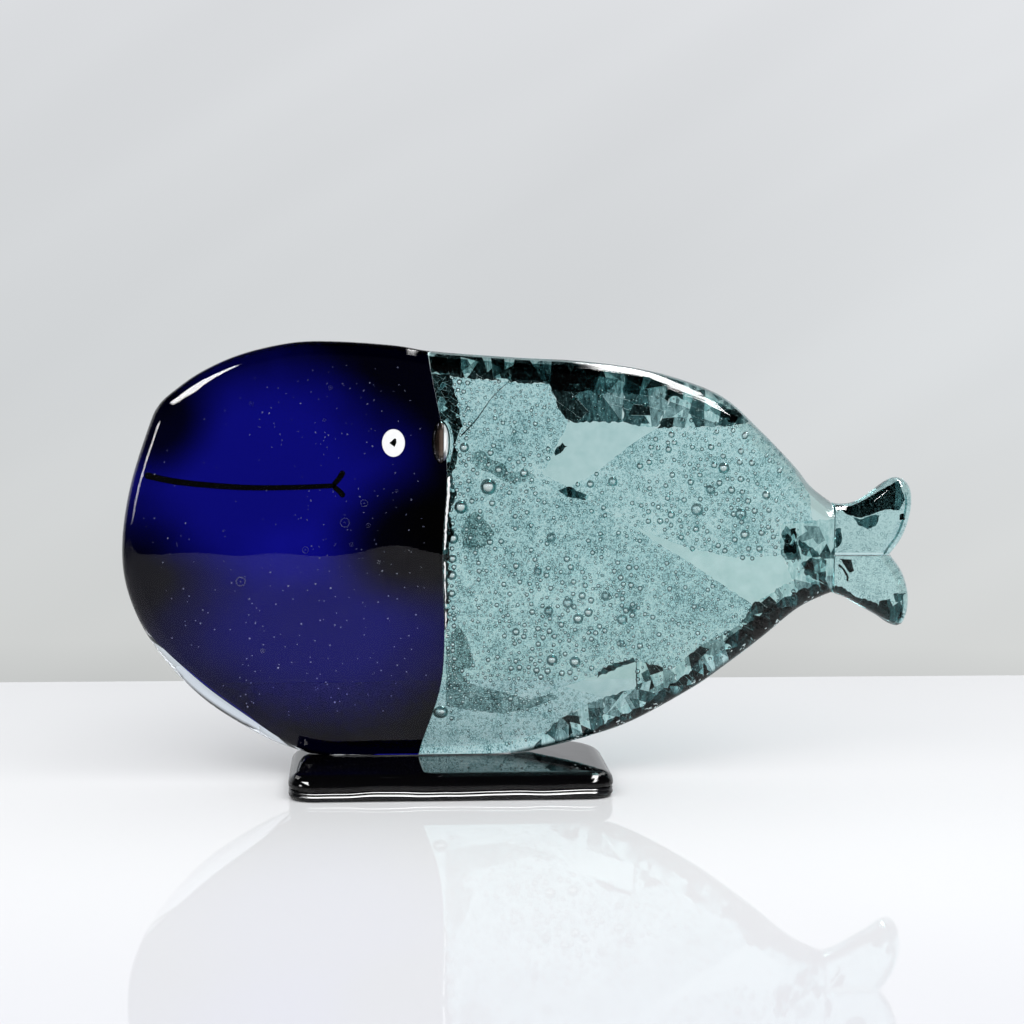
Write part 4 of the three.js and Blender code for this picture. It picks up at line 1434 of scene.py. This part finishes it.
class WhaleColours(bpy.types.PropertyGroup):
    """Colours of the opaque glass"""

    black: bpy.props.FloatVectorProperty(
        name="Base black",
        description="Colour of the base, the mouth and the pupil",
        subtype="COLOR",
        size=3,
        min=0,
        max=1,
        default=linear("#050506"),
    )
    white: bpy.props.FloatVectorProperty(
        name="Eye white",
        description="Colour of the eye",
        subtype="COLOR",
        size=3,
        min=0,
        max=1,
        default=linear("#f2f2f2"),
    )


# Operators


class WHALE_OT_stage(bpy.types.Operator):
    """Sets up the floor, the studio, the lamps and the camera"""

    bl_idname = "whale.stage"
    bl_label = "Stage"

    def execute(self, context):
        make_world()
        make_floor()
        for name, lamp in LAMPS.items():
            lamp_at(name, *lamp)
        make_camera()
        context.scene.view_settings.view_transform = "Standard"
        for key, count in BOUNCES.items():
            setattr(context.scene.cycles, key, count)
        return {"FINISHED"}


def base_plan():
    """The base seen from above, with tighter corners in front."""
    low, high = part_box("base_plate")
    low_x, high_x = low.x + BASE_INSET, high.x - BASE_INSET
    low_y, high_y = low.y + BASE_INSET, high.y - BASE_INSET
    plan = []
    for x, y, radius, start in (
        (high_x, high_y, BASE_REAR_CORNER, 0), (low_x, high_y, BASE_REAR_CORNER, 90),
        (low_x, low_y, BASE_FRONT_CORNER, 180), (high_x, low_y, BASE_FRONT_CORNER, 270),
    ):
        centre_x = x - math.copysign(radius, x)
        centre_y = y - math.copysign(radius, y - (low_y + high_y) / 2)
        for i in range(BASE_CORNER_STEPS + 1):
            turn = math.radians(start + 90 / BASE_CORNER_STEPS * i)
            plan.append((centre_x + radius * math.cos(turn), centre_y + radius * math.sin(turn)))
    return plan


def base_layer(name, profile, ripple, waves_between):
    """One layer of the base, laid flat; its edge waves between two heights."""
    levels = [(inset * MM, up * MM) for inset, up in profile]
    layer = ringed(name, base_plan(), levels, BASE_SPACING, closed=True)
    face_out(layer)
    lay_flat(layer)
    rim = layer.vertex_groups.new(name="rim")
    still_low, still_high = waves_between
    for corner in layer.data.vertices:
        clear = min(corner.co.z - still_low, still_high - corner.co.z)
        rim.add([corner.index], min(1, max(0, clear / MM)), "REPLACE")
    waves = bpy.data.textures.new("ripple", "CLOUDS")
    waves.noise_scale = RIPPLE_SIZE
    waves.noise_depth = 1
    finish_with(
        layer, "DISPLACE", texture=waves, texture_coords="GLOBAL", strength=ripple,
        vertex_group="rim", direction="Z",
    )
    return smooth(layer, degrees=50)


class WHALE_OT_base(bpy.types.Operator):
    """Models the black base and the bead of adhesive on it"""

    bl_idname = "whale.base"
    bl_label = "Base"

    def execute(self, context):
        ripple = context.scene.whale_sizes.base_ripple
        colours = context.scene.whale_colours
        black = opaque_glass("black_glass_fire_polished", colours.black, roughness=0.03)
        top = base_layer("base_top_layer", TOP_LAYER, ripple, TOP_WAVES)
        dress(top, black, "black_glass", "base_plate")
        foot = base_layer("base_foot_layer", FOOT_LAYER, ripple, FOOT_WAVES)
        dress(foot, black, "black_glass")
        # Lamps that light the foot alone draw the bright lines along its edge
        only_foot = bpy.data.collections.new("base_foot_only")
        only_foot.objects.link(foot)
        for name, lamp in EDGE_LAMPS.items():
            edge_lamp = lamp_at(name, *lamp)
            edge_lamp.visible_glossy = True
            edge_lamp.light_linking.receiver_collection = only_foot
        self.bead()
        return {"FINISHED"}

    def bead(self):
        """The adhesive under the whale, squeezed out a little unevenly."""
        low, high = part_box("bond_film")
        middle_y, half = 0.5 * (low.y + high.y), (high.z - low.z) / 2
        start = Vector((low.x + BEAD_END, middle_y))
        end = Vector((high.x - BEAD_END, middle_y))
        line = [start.lerp(end, i / BEAD_STEPS) for i in range(BEAD_STEPS + 1)]
        outline = ragged(strip(line, (BEAD_WIDTH, BEAD_WIDTH)), random.Random(11), *BEAD_EDGE)
        bond = lay_flat(plate_of("bond_bead", outline, -half, half))
        face_out(bond, (0, 0, (low.z + high.z) / 2))
        dress(bond, adhesive(), "cured_adhesive", "bond_film")


def inlay(name, outline, grow=0.0, spacing=INLAY_SPACING, proud=INLAY_PROUD):
    """A small piece laid into the front face; shrunk a little, it is the tool for its tight bed."""
    half = INLAY_DEPTH / 2
    ring = drawn_in(evenly(outline, spacing), -grow) if grow else outline
    middle = FRONT_Y + half - proud
    return rounded_slab(name, ring, INLAY_ROUND, half, middle, steps=3, spacing=spacing)


def inlay_outlines():
    """Outlines of the eye, the pupil and the three threads of the mouth."""
    eye, fork = spot(*EYE), Vector(spot(*MOUTH_FORK))
    mouth = spline([fork + Vector(p) * MM for p in MOUTH], steps=40)
    arms = {}
    for name, side in FORK_SIDES.items():
        start = fork + Vector((FORK_START[0], side * FORK_START[1])) * MM
        arm = [start + Vector((along_x, side * up)) * MM for along_x, up in FORK_ARM]
        arms[name] = strip(spline(arm, steps=8), FORK_WIDTHS)
    return {
        "eye_white": oval(eye, EYE_WIDTH, EYE_HEIGHT),
        "eye_pupil": [(eye[0] + x * MM, eye[1] + z * MM) for x, z in PUPIL],
        "mouth_line": strip(mouth, MOUTH_WIDTHS),
        **arms,
    }


class WHALE_OT_inlays(bpy.types.Operator):
    """Models the eye, its pupil and the threads of the mouth"""

    bl_idname = "whale.inlays"
    bl_label = "Eye and mouth"

    def execute(self, context):
        black = bpy.data.materials["black_glass_fire_polished"]
        colours = context.scene.whale_colours
        white = opaque_glass("white_glass_fire_polished", colours.white, roughness=0.12)
        outlines = inlay_outlines()
        for name, outline in outlines.items():
            pupil = name == "eye_pupil"
            spacing = PUPIL_SPACING if pupil else INLAY_SPACING
            proud = PUPIL_PROUD if pupil else INLAY_PROUD
            piece = inlay(name + "_glass", outline, 0, spacing, proud)
            slot, finish = "black_glass", black
            if name == "eye_white":
                slot, finish = "white_glass", white
                hole = outlines["eye_pupil"]
                cut(piece, inlay("pupil_bed", hole, BED_EASE, PUPIL_SPACING, BED_PROUD))
            dress(smooth(piece, degrees=50), finish, slot, name)
        return {"FINISHED"}


class WHALE_OT_head(bpy.types.Operator):
    """Models the cobalt head with its beds, its bubbles and its darker core, whose light and shade
    are painted
    """

    bl_idname = "whale.head"
    bl_label = "Head"

    def execute(self, context):
        sizes = context.scene.whale_sizes
        head = whale_slab("head_glass", sizes)
        cut(head, seam_tool(-SEAM_GAP, 1))
        # Paler glass along the lower rim paints a glow of light
        lip = whale_slab("head_lip_painted_glow", sizes)
        cut(lip, through("lip_room", lip_outline(0)), "INTERSECT")
        cut(head, through("lip_bed", lip_outline(LIP_GAP)))
        for name, outline in inlay_outlines().items():
            if name != "eye_pupil":
                cut(head, inlay("bed", outline, BED_EASE, proud=BED_PROUD))
        for cavity in seam_cavities():
            cut(head, cavity)
        smooth(head)
        smooth(lip)
        dress(head, cobalt_glass(), "cobalt_glass", "head_front_sheet", "head_back_sheet")
        dress(lip, painted_glow_glass(), "cobalt_glass")
        self.core()
        # A flat lens near the front face whose colour paints the upper pocket's reflection
        pocket_x, pocket_z = spot(*POCKET_MIRROR_SPOT)
        pocket = ball(POCKET_MIRROR, (pocket_x, FRONT_Y + POCKET_MIRROR_DEPTH, pocket_z), detail=4)
        dress(smooth(pocket), painted_reflection_material(pocket), "clear_glass")
        self.seeds(sizes)
        return {"FINISHED"}

    def core(self):
        """The darker sheet in the middle of the head, where light and shade are painted."""
        outline = inner_outline(CORE_INSET, SEAM_X + CORE_REACH)
        core = plate_of("head_core_glass", outline, MIDDLE_Y - FILM_HALF, MIDDLE_Y + FILM_HALF)
        cut(core, seam_tool(-CORE_SEAM_GAP, 1))
        cut(core, through("lip_bed", lip_outline(CORE_LIP_GAP)))
        for cavity in seam_cavities(POCKET_SHIFT):
            cut(core, cavity)
        dress(core, core_material(), "cobalt_glass", "head_core_sheet")

    def seeds(self, sizes):
        """Bubbles that lie just at the front face."""
        chance = random.Random(5)
        large, small = [], []
        for behind, up, radius in HEAD_BUBBLES:
            size = radius * MM * sizes.bubble_size
            x, z = spot(behind, up)
            large.append(scaled(x, FRONT_Y + RING_DEPTH, z, (size, RING_HALF_DEPTH, size)))
            small.append(scaled(x, FRONT_Y + RING_DEPTH, z, DOT_SIZE))
        room = Room(slab_outline())
        while len(small) < HEAD_SEEDS:
            low, high = chance.choice(HEAD_CROWDS)
            size = chance.choice(SEED_RADII) * MM
            x, z = spot(chance.uniform(low[0], high[0]), chance.uniform(low[1], high[1]))
            if room.free(x, z, size, SEED_RIM) and x < SEAM_X - SEED_SEAM_GAP:
                room.take(x, z, size)
                small.append(scaled(x, FRONT_Y, z, (size, SEED_HALF_DEPTH, size)))
        for name, shape, places, finish in (
            ("head_seeds", seed_shape(), small, seed_material("cobalt_seeds_painted_highlight", 0.8, 0.95)),
            ("head_bubbles", ring_shape(), large, seed_material("cobalt_bubbles_painted_highlight", 0.6, 0.9)),
        ):
            piece = holes(name, shape, places, True)
            face_out(piece)
            dress(piece, finish, "cobalt_glass")


def lip_outline(grow):
    """The crescent along the head's lower rim where paler glass paints a glow of light."""
    ring = slab_outline()
    first, last = sorted(
        int(np.argmin(np.hypot(*(ring - spot(*end)).T))) for end in (LIP_START, LIP_END)
    )
    line = ring[first : last + 1]
    inward = left_of(along(ring))[first : last + 1]
    share = np.linspace(0, math.pi, len(line))[:, None]
    width = LIP_WIDTH * np.sin(share) ** LIP_FULLNESS + LIP_LEAST + grow
    return np.concatenate([line - inward * LIP_OVERLAP, (line + inward * width)[::-1]])


def seam_cavities(shift=0.0):
    """The lens-shaped air pockets that straddle the seam."""
    for behind, up, half_sizes in SEAM_POCKETS:
        x, z = spot(behind, up)
        centre = (x + shift, MIDDLE_Y + POCKET_DEPTH, z)
        yield ball([s * MM for s in half_sizes], centre, detail=4)


def body_bubbles(sizes):
    """Places of the large and small bubbles that lie in the films, and of those behind them."""
    chance = random.Random(3)
    room = Room(flat_array(whale_outline(steps=200)))
    for behind, up, radius in POCKET_ROOM:
        room.take(*spot(behind, up), radius * MM)
    line = flat_array(seam_line(0))
    wedges = [np.array(shard_points(corners)) for corners in CLEAR_WEDGES.values()]

    def fits(x, z, radius, rim):
        seam_x = np.interp(z, line[:, 1], line[:, 0])
        return room.free(x, z, radius, rim) and x > seam_x + radius + BUBBLE_SEAM_GAP

    large, small, behind_film = [], [], []
    for behind, up, radius in CLEAR_BUBBLES:
        size = radius * MM * sizes.bubble_size
        x, z = spot(behind, up)
        if fits(x, z, size, LARGE_BUBBLE_RIM):
            room.take(x, z, size)
            large.append(scaled(x, MIDDLE_Y, z, (size, size, size)))
    for low, high, count, least, most in CROWDS:
        tries = 6 * count
        for _ in range(tries):
            size = chance.uniform(least, most) * MM * sizes.bubble_size
            x, z = spot(chance.uniform(low[0], high[0]), chance.uniform(low[1], high[1]))
            if any(inside((x, z), wedge) for wedge in wedges):
                continue
            if fits(x, z, size, SMALL_BUBBLE_RIM):
                room.take(x, z, size)
                small.append(scaled(x, MIDDLE_Y, z, (size, size, size)))
                count -= 1
                if not count:
                    break
    for behind, up, radius in SOFT_BUBBLES:
        size = radius * MM * sizes.bubble_size
        deep = min(size, SOFT_BUBBLE_MOST)
        x, z = spot(behind, up)
        behind_film.append(scaled(x, MIDDLE_Y + SOFT_BUBBLE_DEPTH + deep, z, (size, deep, size)))
    return large, small, behind_film


def flake_outline(middle, run, inward, chance):
    """A small jagged oval that leans away from the rim's run."""
    long, wide = chance.uniform(*FLAKE_LENGTHS) * MM, chance.uniform(*FLAKE_WIDTHS) * MM
    lean = chance.uniform(-FLAKE_LEAN, FLAKE_LEAN)
    ahead = run * math.cos(lean) + inward * math.sin(lean)
    aside = inward * math.cos(lean) - run * math.sin(lean)
    outline = []
    for step in range(FLAKE_CORNERS):
        turn = math.tau * step / FLAKE_CORNERS
        reached = ahead * long * math.cos(turn) + aside * wide * math.sin(turn)
        outline.append(middle + reached * chance.uniform(*FLAKE_JAGS))
    return outline


class WHALE_OT_body(bpy.types.Operator):
    """Models the aqua body with its bubbles and the shards inside it"""

    bl_idname = "whale.body"
    bl_label = "Body"

    def execute(self, context):
        sizes = context.scene.whale_sizes
        body = whale_slab("body_glass", sizes)
        trim(body, (TAIL_X - JOINT_GAP / 2, 0, 0), (1, 0, 0))
        cut(body, seam_tool(SEAM_GAP, -1))
        for cavity in seam_cavities():
            cut(body, cavity)
        smooth(body)
        large, small, behind_film = body_bubbles(sizes)
        self.plugs = large + small
        join(
            body, holes("large_bubbles", ball((1, 1, 1)), large + behind_film, True),
            holes("small_bubbles", seed_shape(), small, True),
        )
        dress(body, aqua_glass(), "aqua_glass", "body_front_sheet", "body_back_sheet")
        # A render would give clear glass a solid's shadow; what lies inside still casts one
        body.visible_shadow = False
        for tone in BROKEN_TONES:
            broken_material(*tone)
        self.chance = random.Random(8)
        self.shards()
        self.breaks()
        self.seam_crumbs(context.scene.whale_colours.white)
        self.dusky_films()
        self.cracks()
        self.flakes(sizes.rim_round)
        return {"FINISHED"}

    def fitted(self, shard, inset):
        """A shard cut back to the body's inside, so that the rim stays clear."""
        inner = inner_outline(inset, TAIL_X - SHARD_TAIL_GAP)
        cut(shard, through("room", inner, 0), "INTERSECT")
        cut(shard, seam_tool(SHARD_SEAM_GAP, -1))
        for cavity in seam_cavities(POCKET_SHIFT):
            cut(shard, cavity)
        return shard

    def film(self, name, points, shift, cleared=True):
        """A thin plate with a broken edge, cleared where the bubbles are."""
        low_y = MIDDLE_Y - FILM_HALF + shift
        high_y = MIDDLE_Y + FILM_HALF + shift - FILM_BACK_EASE
        outline = ragged(points, self.chance, *FILM_EDGE)
        film = self.fitted(plate_of(name, outline, low_y, high_y), FILM_INSET)
        if cleared:
            places = [
                m @ Matrix.Diagonal((PLUG_SHARE, PLUG_HALF / m[1][1], PLUG_SHARE, 1))
                for m in self.plugs
            ]
            cut(film, holes("plugs", plug_shape(), places, False))
        return film

    def shards(self):
        """Films of seedy glass, pale wedges and broken chips between the outer sheets."""
        film = film_material("seedy_aqua_glass", "#4a7175", "#d4eff3", "#f6ffff")
        # A lighter copy of the seedy glass: painted light on the flank and keel films
        bright = film_material("bright_seedy_aqua_glass", "#6f999c", "#e6fafd", "#f8ffff")
        clear = clear_material()
        for layer, (name, corners) in enumerate((FILMS | CLEAR_WEDGES).items()):
            seedy = name in FILMS
            # Neighbours lie at slightly different depths
            shift = (layer % FILM_STEPS - FILM_STEPS // 2) * FILM_STEP
            piece = self.film(name + "_glass", shard_points(corners), shift, seedy)
            finish = bright if name in FILMS_PAINTED_LIGHTER else film if seedy else clear
            dress(piece, finish, "bubbled_glass" if seedy else "clear_glass", name)
        for name, corners in CHIPS.items():
            outline = ragged(shard_points(corners), self.chance, *CHIP_EDGE)
            chip = mosaic(name, [outline], self.chance, MIDDLE_Y + CHIP_DEPTH)
            self.fitted(chip, CHIP_INSET)
            chip.name = chip.data.name = name + "_glass"
            dress(chip, None, "bubbled_glass", name)

    def breaks(self):
        """Dark breaks that run through the films; along the rims they also paint the rims' dark
        band as shade.
        """
        for name, patches in DARK_PATCHES.items():
            rings = [ragged(body_points(p), self.chance, *BREAK_EDGE) for p in patches]
            outer = name in OUTER_BREAKS
            depth = OUTER_BREAK_DEPTH if outer else BREAK_DEPTH
            dark = mosaic(name, rings, self.chance, MIDDLE_Y + depth)
            self.fitted(dark, OUTER_BREAK_INSET if outer else BREAK_INSET)
            dress(dark, None, "bubbled_glass")

    def seam_crumbs(self, white):
        """White crumbs of crushed glass along the seam, which also paint its sparkle."""
        edges = []
        for low, high, widths in CRUMB_RUNS:
            line = [p for p in seam_line(CRUMB_OFFSET) if low < (p.y - FOOT_Z) / MM < high]
            edge = strip(line, [w * MM for w in widths])
            edges.append(ragged(edge, self.chance, *CRUMB_EDGE))
        crumbs = mosaic("seam_crumbs", edges, self.chance, FRONT_Y + CRUMB_DEPTH)
        dress(crumbs, opaque_glass("white_crushed_glass_and_sparkle", white, roughness=0.3), "clear_glass")

    def dusky_films(self):
        """Films with a darker veil."""
        dusk = film_material("dusky_seedy_glass", "#32484a", "#93abab", "#f0f8f8")
        plates = [self.film("dusky_films", body_points(p), DUSKY_DEPTH) for p in DUSKY_PATCHES]
        join(*plates)
        dress(plates[0], dusk, "bubbled_glass")

    def cracks(self):
        """Fine dark cracks in front of the films."""
        cracks = []
        low_y, high_y = (MIDDLE_Y + depth for depth in CRACK_DEPTHS)
        for crack in CRACKS:
            line = spline(body_points(crack), steps=20)
            outline = ragged(strip(line, CRACK_WIDTHS), self.chance, *CRACK_EDGE)
            cracks.append(plate_of("cracks", outline, low_y, high_y))
        join(*cracks)
        dress(cracks[0], bpy.data.materials["black_broken_glass"], "bubbled_glass")

    def flakes(self, reach):
        """Pale flakes half sunk in the lower rim: painted glints along it."""
        chance, ring = self.chance, slab_outline()
        run = along(ring)
        inward = left_of(run)
        first_x, last_x = SEAM_X + FLAKES_START, TAIL_X - FLAKES_END
        lower = [i for i, (x, z) in enumerate(ring) if first_x < x < last_x and z < FLUKE_SEAM_Z]
        flakes = []
        while len(flakes) < RIM_FLAKES:
            i = chance.choice(lower)
            for _ in range(chance.randint(*FLAKE_CLUSTER)):
                inset = min(chance.uniform(*FLAKE_INSETS) * MM, reach)
                slide = chance.gauss(0, FLAKE_SPREAD) * MM
                middle = ring[i] + inward[i] * inset + run[i] * slide
                outline = flake_outline(middle, run[i], inward[i], chance)
                skin = MIDDLE_Y - HALF_SLAB * math.sqrt(1 - (1 - inset / reach) ** 2)
                low_y, high_y = skin - FLAKE_PROUD, skin + FLAKE_SUNK
                flakes.append(plate_of("rim_painted_glints", outline, low_y, high_y))
        join(*flakes)
        # Their pale colour paints glints along the rim
        pale = opaque_glass("pale_painted_glint_glass", linear("#cfe0e1"), roughness=0.25)
        dress(flakes[0], pale, "clear_glass")


def fluke_outline(outline, reach, side):
    """A fluke's outline, carried on past the tail joint and the flukes' seam."""
    points = [(TAIL_X + a * FLUKE_LENGTH, FLUKE_SEAM_Z + side * u * reach) for a, u in outline]
    rim = spline(points, steps=90)
    inner_z, far = FLUKE_SEAM_Z - side * OVERSIZE, TAIL_X - OVERSIZE
    ring = [
        Vector((rim[0].x, inner_z)), *rim, Vector((far, rim[-1].y)), Vector((far, inner_z)),
    ]
    return drawn_in(evenly(ring, FLUKE_SPACING), SLAB_INSET)


def trim_fluke(piece, side, gap):
    """Cuts a fluke's piece off before the tail joint and the flukes' seam."""
    trim(piece, (TAIL_X + gap, 0, 0), (-1, 0, 0))
    trim(piece, (0, 0, FLUKE_SEAM_Z + side * gap), (0, 0, -side))


class WHALE_OT_tail(bpy.types.Operator):
    """Models the two flukes and the broken patches in them, which also paint their rims' dark as
    shade
    """

    bl_idname = "whale.tail"
    bl_label = "Tail"

    def execute(self, context):
        sizes = context.scene.whale_sizes
        aqua = bpy.data.materials["aqua_glass_fire_polished"]
        haze = film_material("hazy_fluke_glass", "#a6bfc2", "#e6f2f4", "#f4ffff")
        for name, outline, reach, side, patches in (
            ("upper_fluke", UPPER_FLUKE_OUTLINE, UPPER_FLUKE_RISE, 1, UPPER_FLUKE_PATCHES),
            ("lower_fluke", LOWER_FLUKE_OUTLINE, LOWER_FLUKE_DROP, -1, LOWER_FLUKE_PATCHES),
        ):
            ring = fluke_outline(outline, reach, side)
            fluke = rounded_slab(name + "_glass", ring, sizes.fluke_round, steps=8)
            trim_fluke(fluke, side, JOINT_GAP / 2)
            dress(smooth(fluke), aqua, "aqua_glass", name)
            fluke.visible_shadow = False
            low_y, high_y = (MIDDLE_Y + depth for depth in HAZE_DEPTHS)
            sheet = plate_of(name + "_haze", drawn_in(ring, HAZE_INSET), low_y, high_y)
            trim_fluke(sheet, side, FLUKE_SHEET_GAP)
            dress(sheet, haze, "bubbled_glass")
            chance = random.Random(name)
            rings = []
            for patch in patches:
                points = [(TAIL_X + x * MM, FLUKE_SEAM_Z + z * MM) for x, z in patch]
                rings.append(ragged(points, chance, *FLUKE_CHIP_EDGE))
            chips = mosaic(name + "_chips", rings, chance, MIDDLE_Y + FLUKE_CHIP_DEPTH)
            dress(chips, None, "bubbled_glass")
        return {"FINISHED"}


class WHALE_PT_pieces(bpy.types.Panel):
    """Lists what can be made and changed"""

    bl_idname = "WHALE_PT_pieces"
    bl_label = "Glass whale"
    bl_space_type = "VIEW_3D"
    bl_region_type = "UI"
    bl_category = "Whale"

    def draw(self, context):
        for group in (context.scene.whale_sizes, context.scene.whale_colours):
            for key in group.bl_rna.properties.keys():
                if key not in ("rna_type", "name"):
                    self.layout.prop(group, key)
        for operator in OPERATORS:
            self.layout.operator(operator.bl_idname)


OPERATORS = (
    WHALE_OT_stage, WHALE_OT_base, WHALE_OT_inlays, WHALE_OT_head, WHALE_OT_body, WHALE_OT_tail,
)
CLASSES = (WhaleSizes, WhaleColours, *OPERATORS, WHALE_PT_pieces)


def register():
    for kind in CLASSES:
        bpy.utils.register_class(kind)
    bpy.types.Scene.whale_sizes = bpy.props.PointerProperty(type=WhaleSizes)
    bpy.types.Scene.whale_colours = bpy.props.PointerProperty(type=WhaleColours)


def unregister():
    del bpy.types.Scene.whale_sizes
    del bpy.types.Scene.whale_colours
    for kind in reversed(CLASSES):
        bpy.utils.unregister_class(kind)


def main():
    register()
    for operator in OPERATORS:
        group, name = operator.bl_idname.split(".")
        getattr(getattr(bpy.ops, group), name)()
    deselect()


if __name__ == "__main__":
    main()
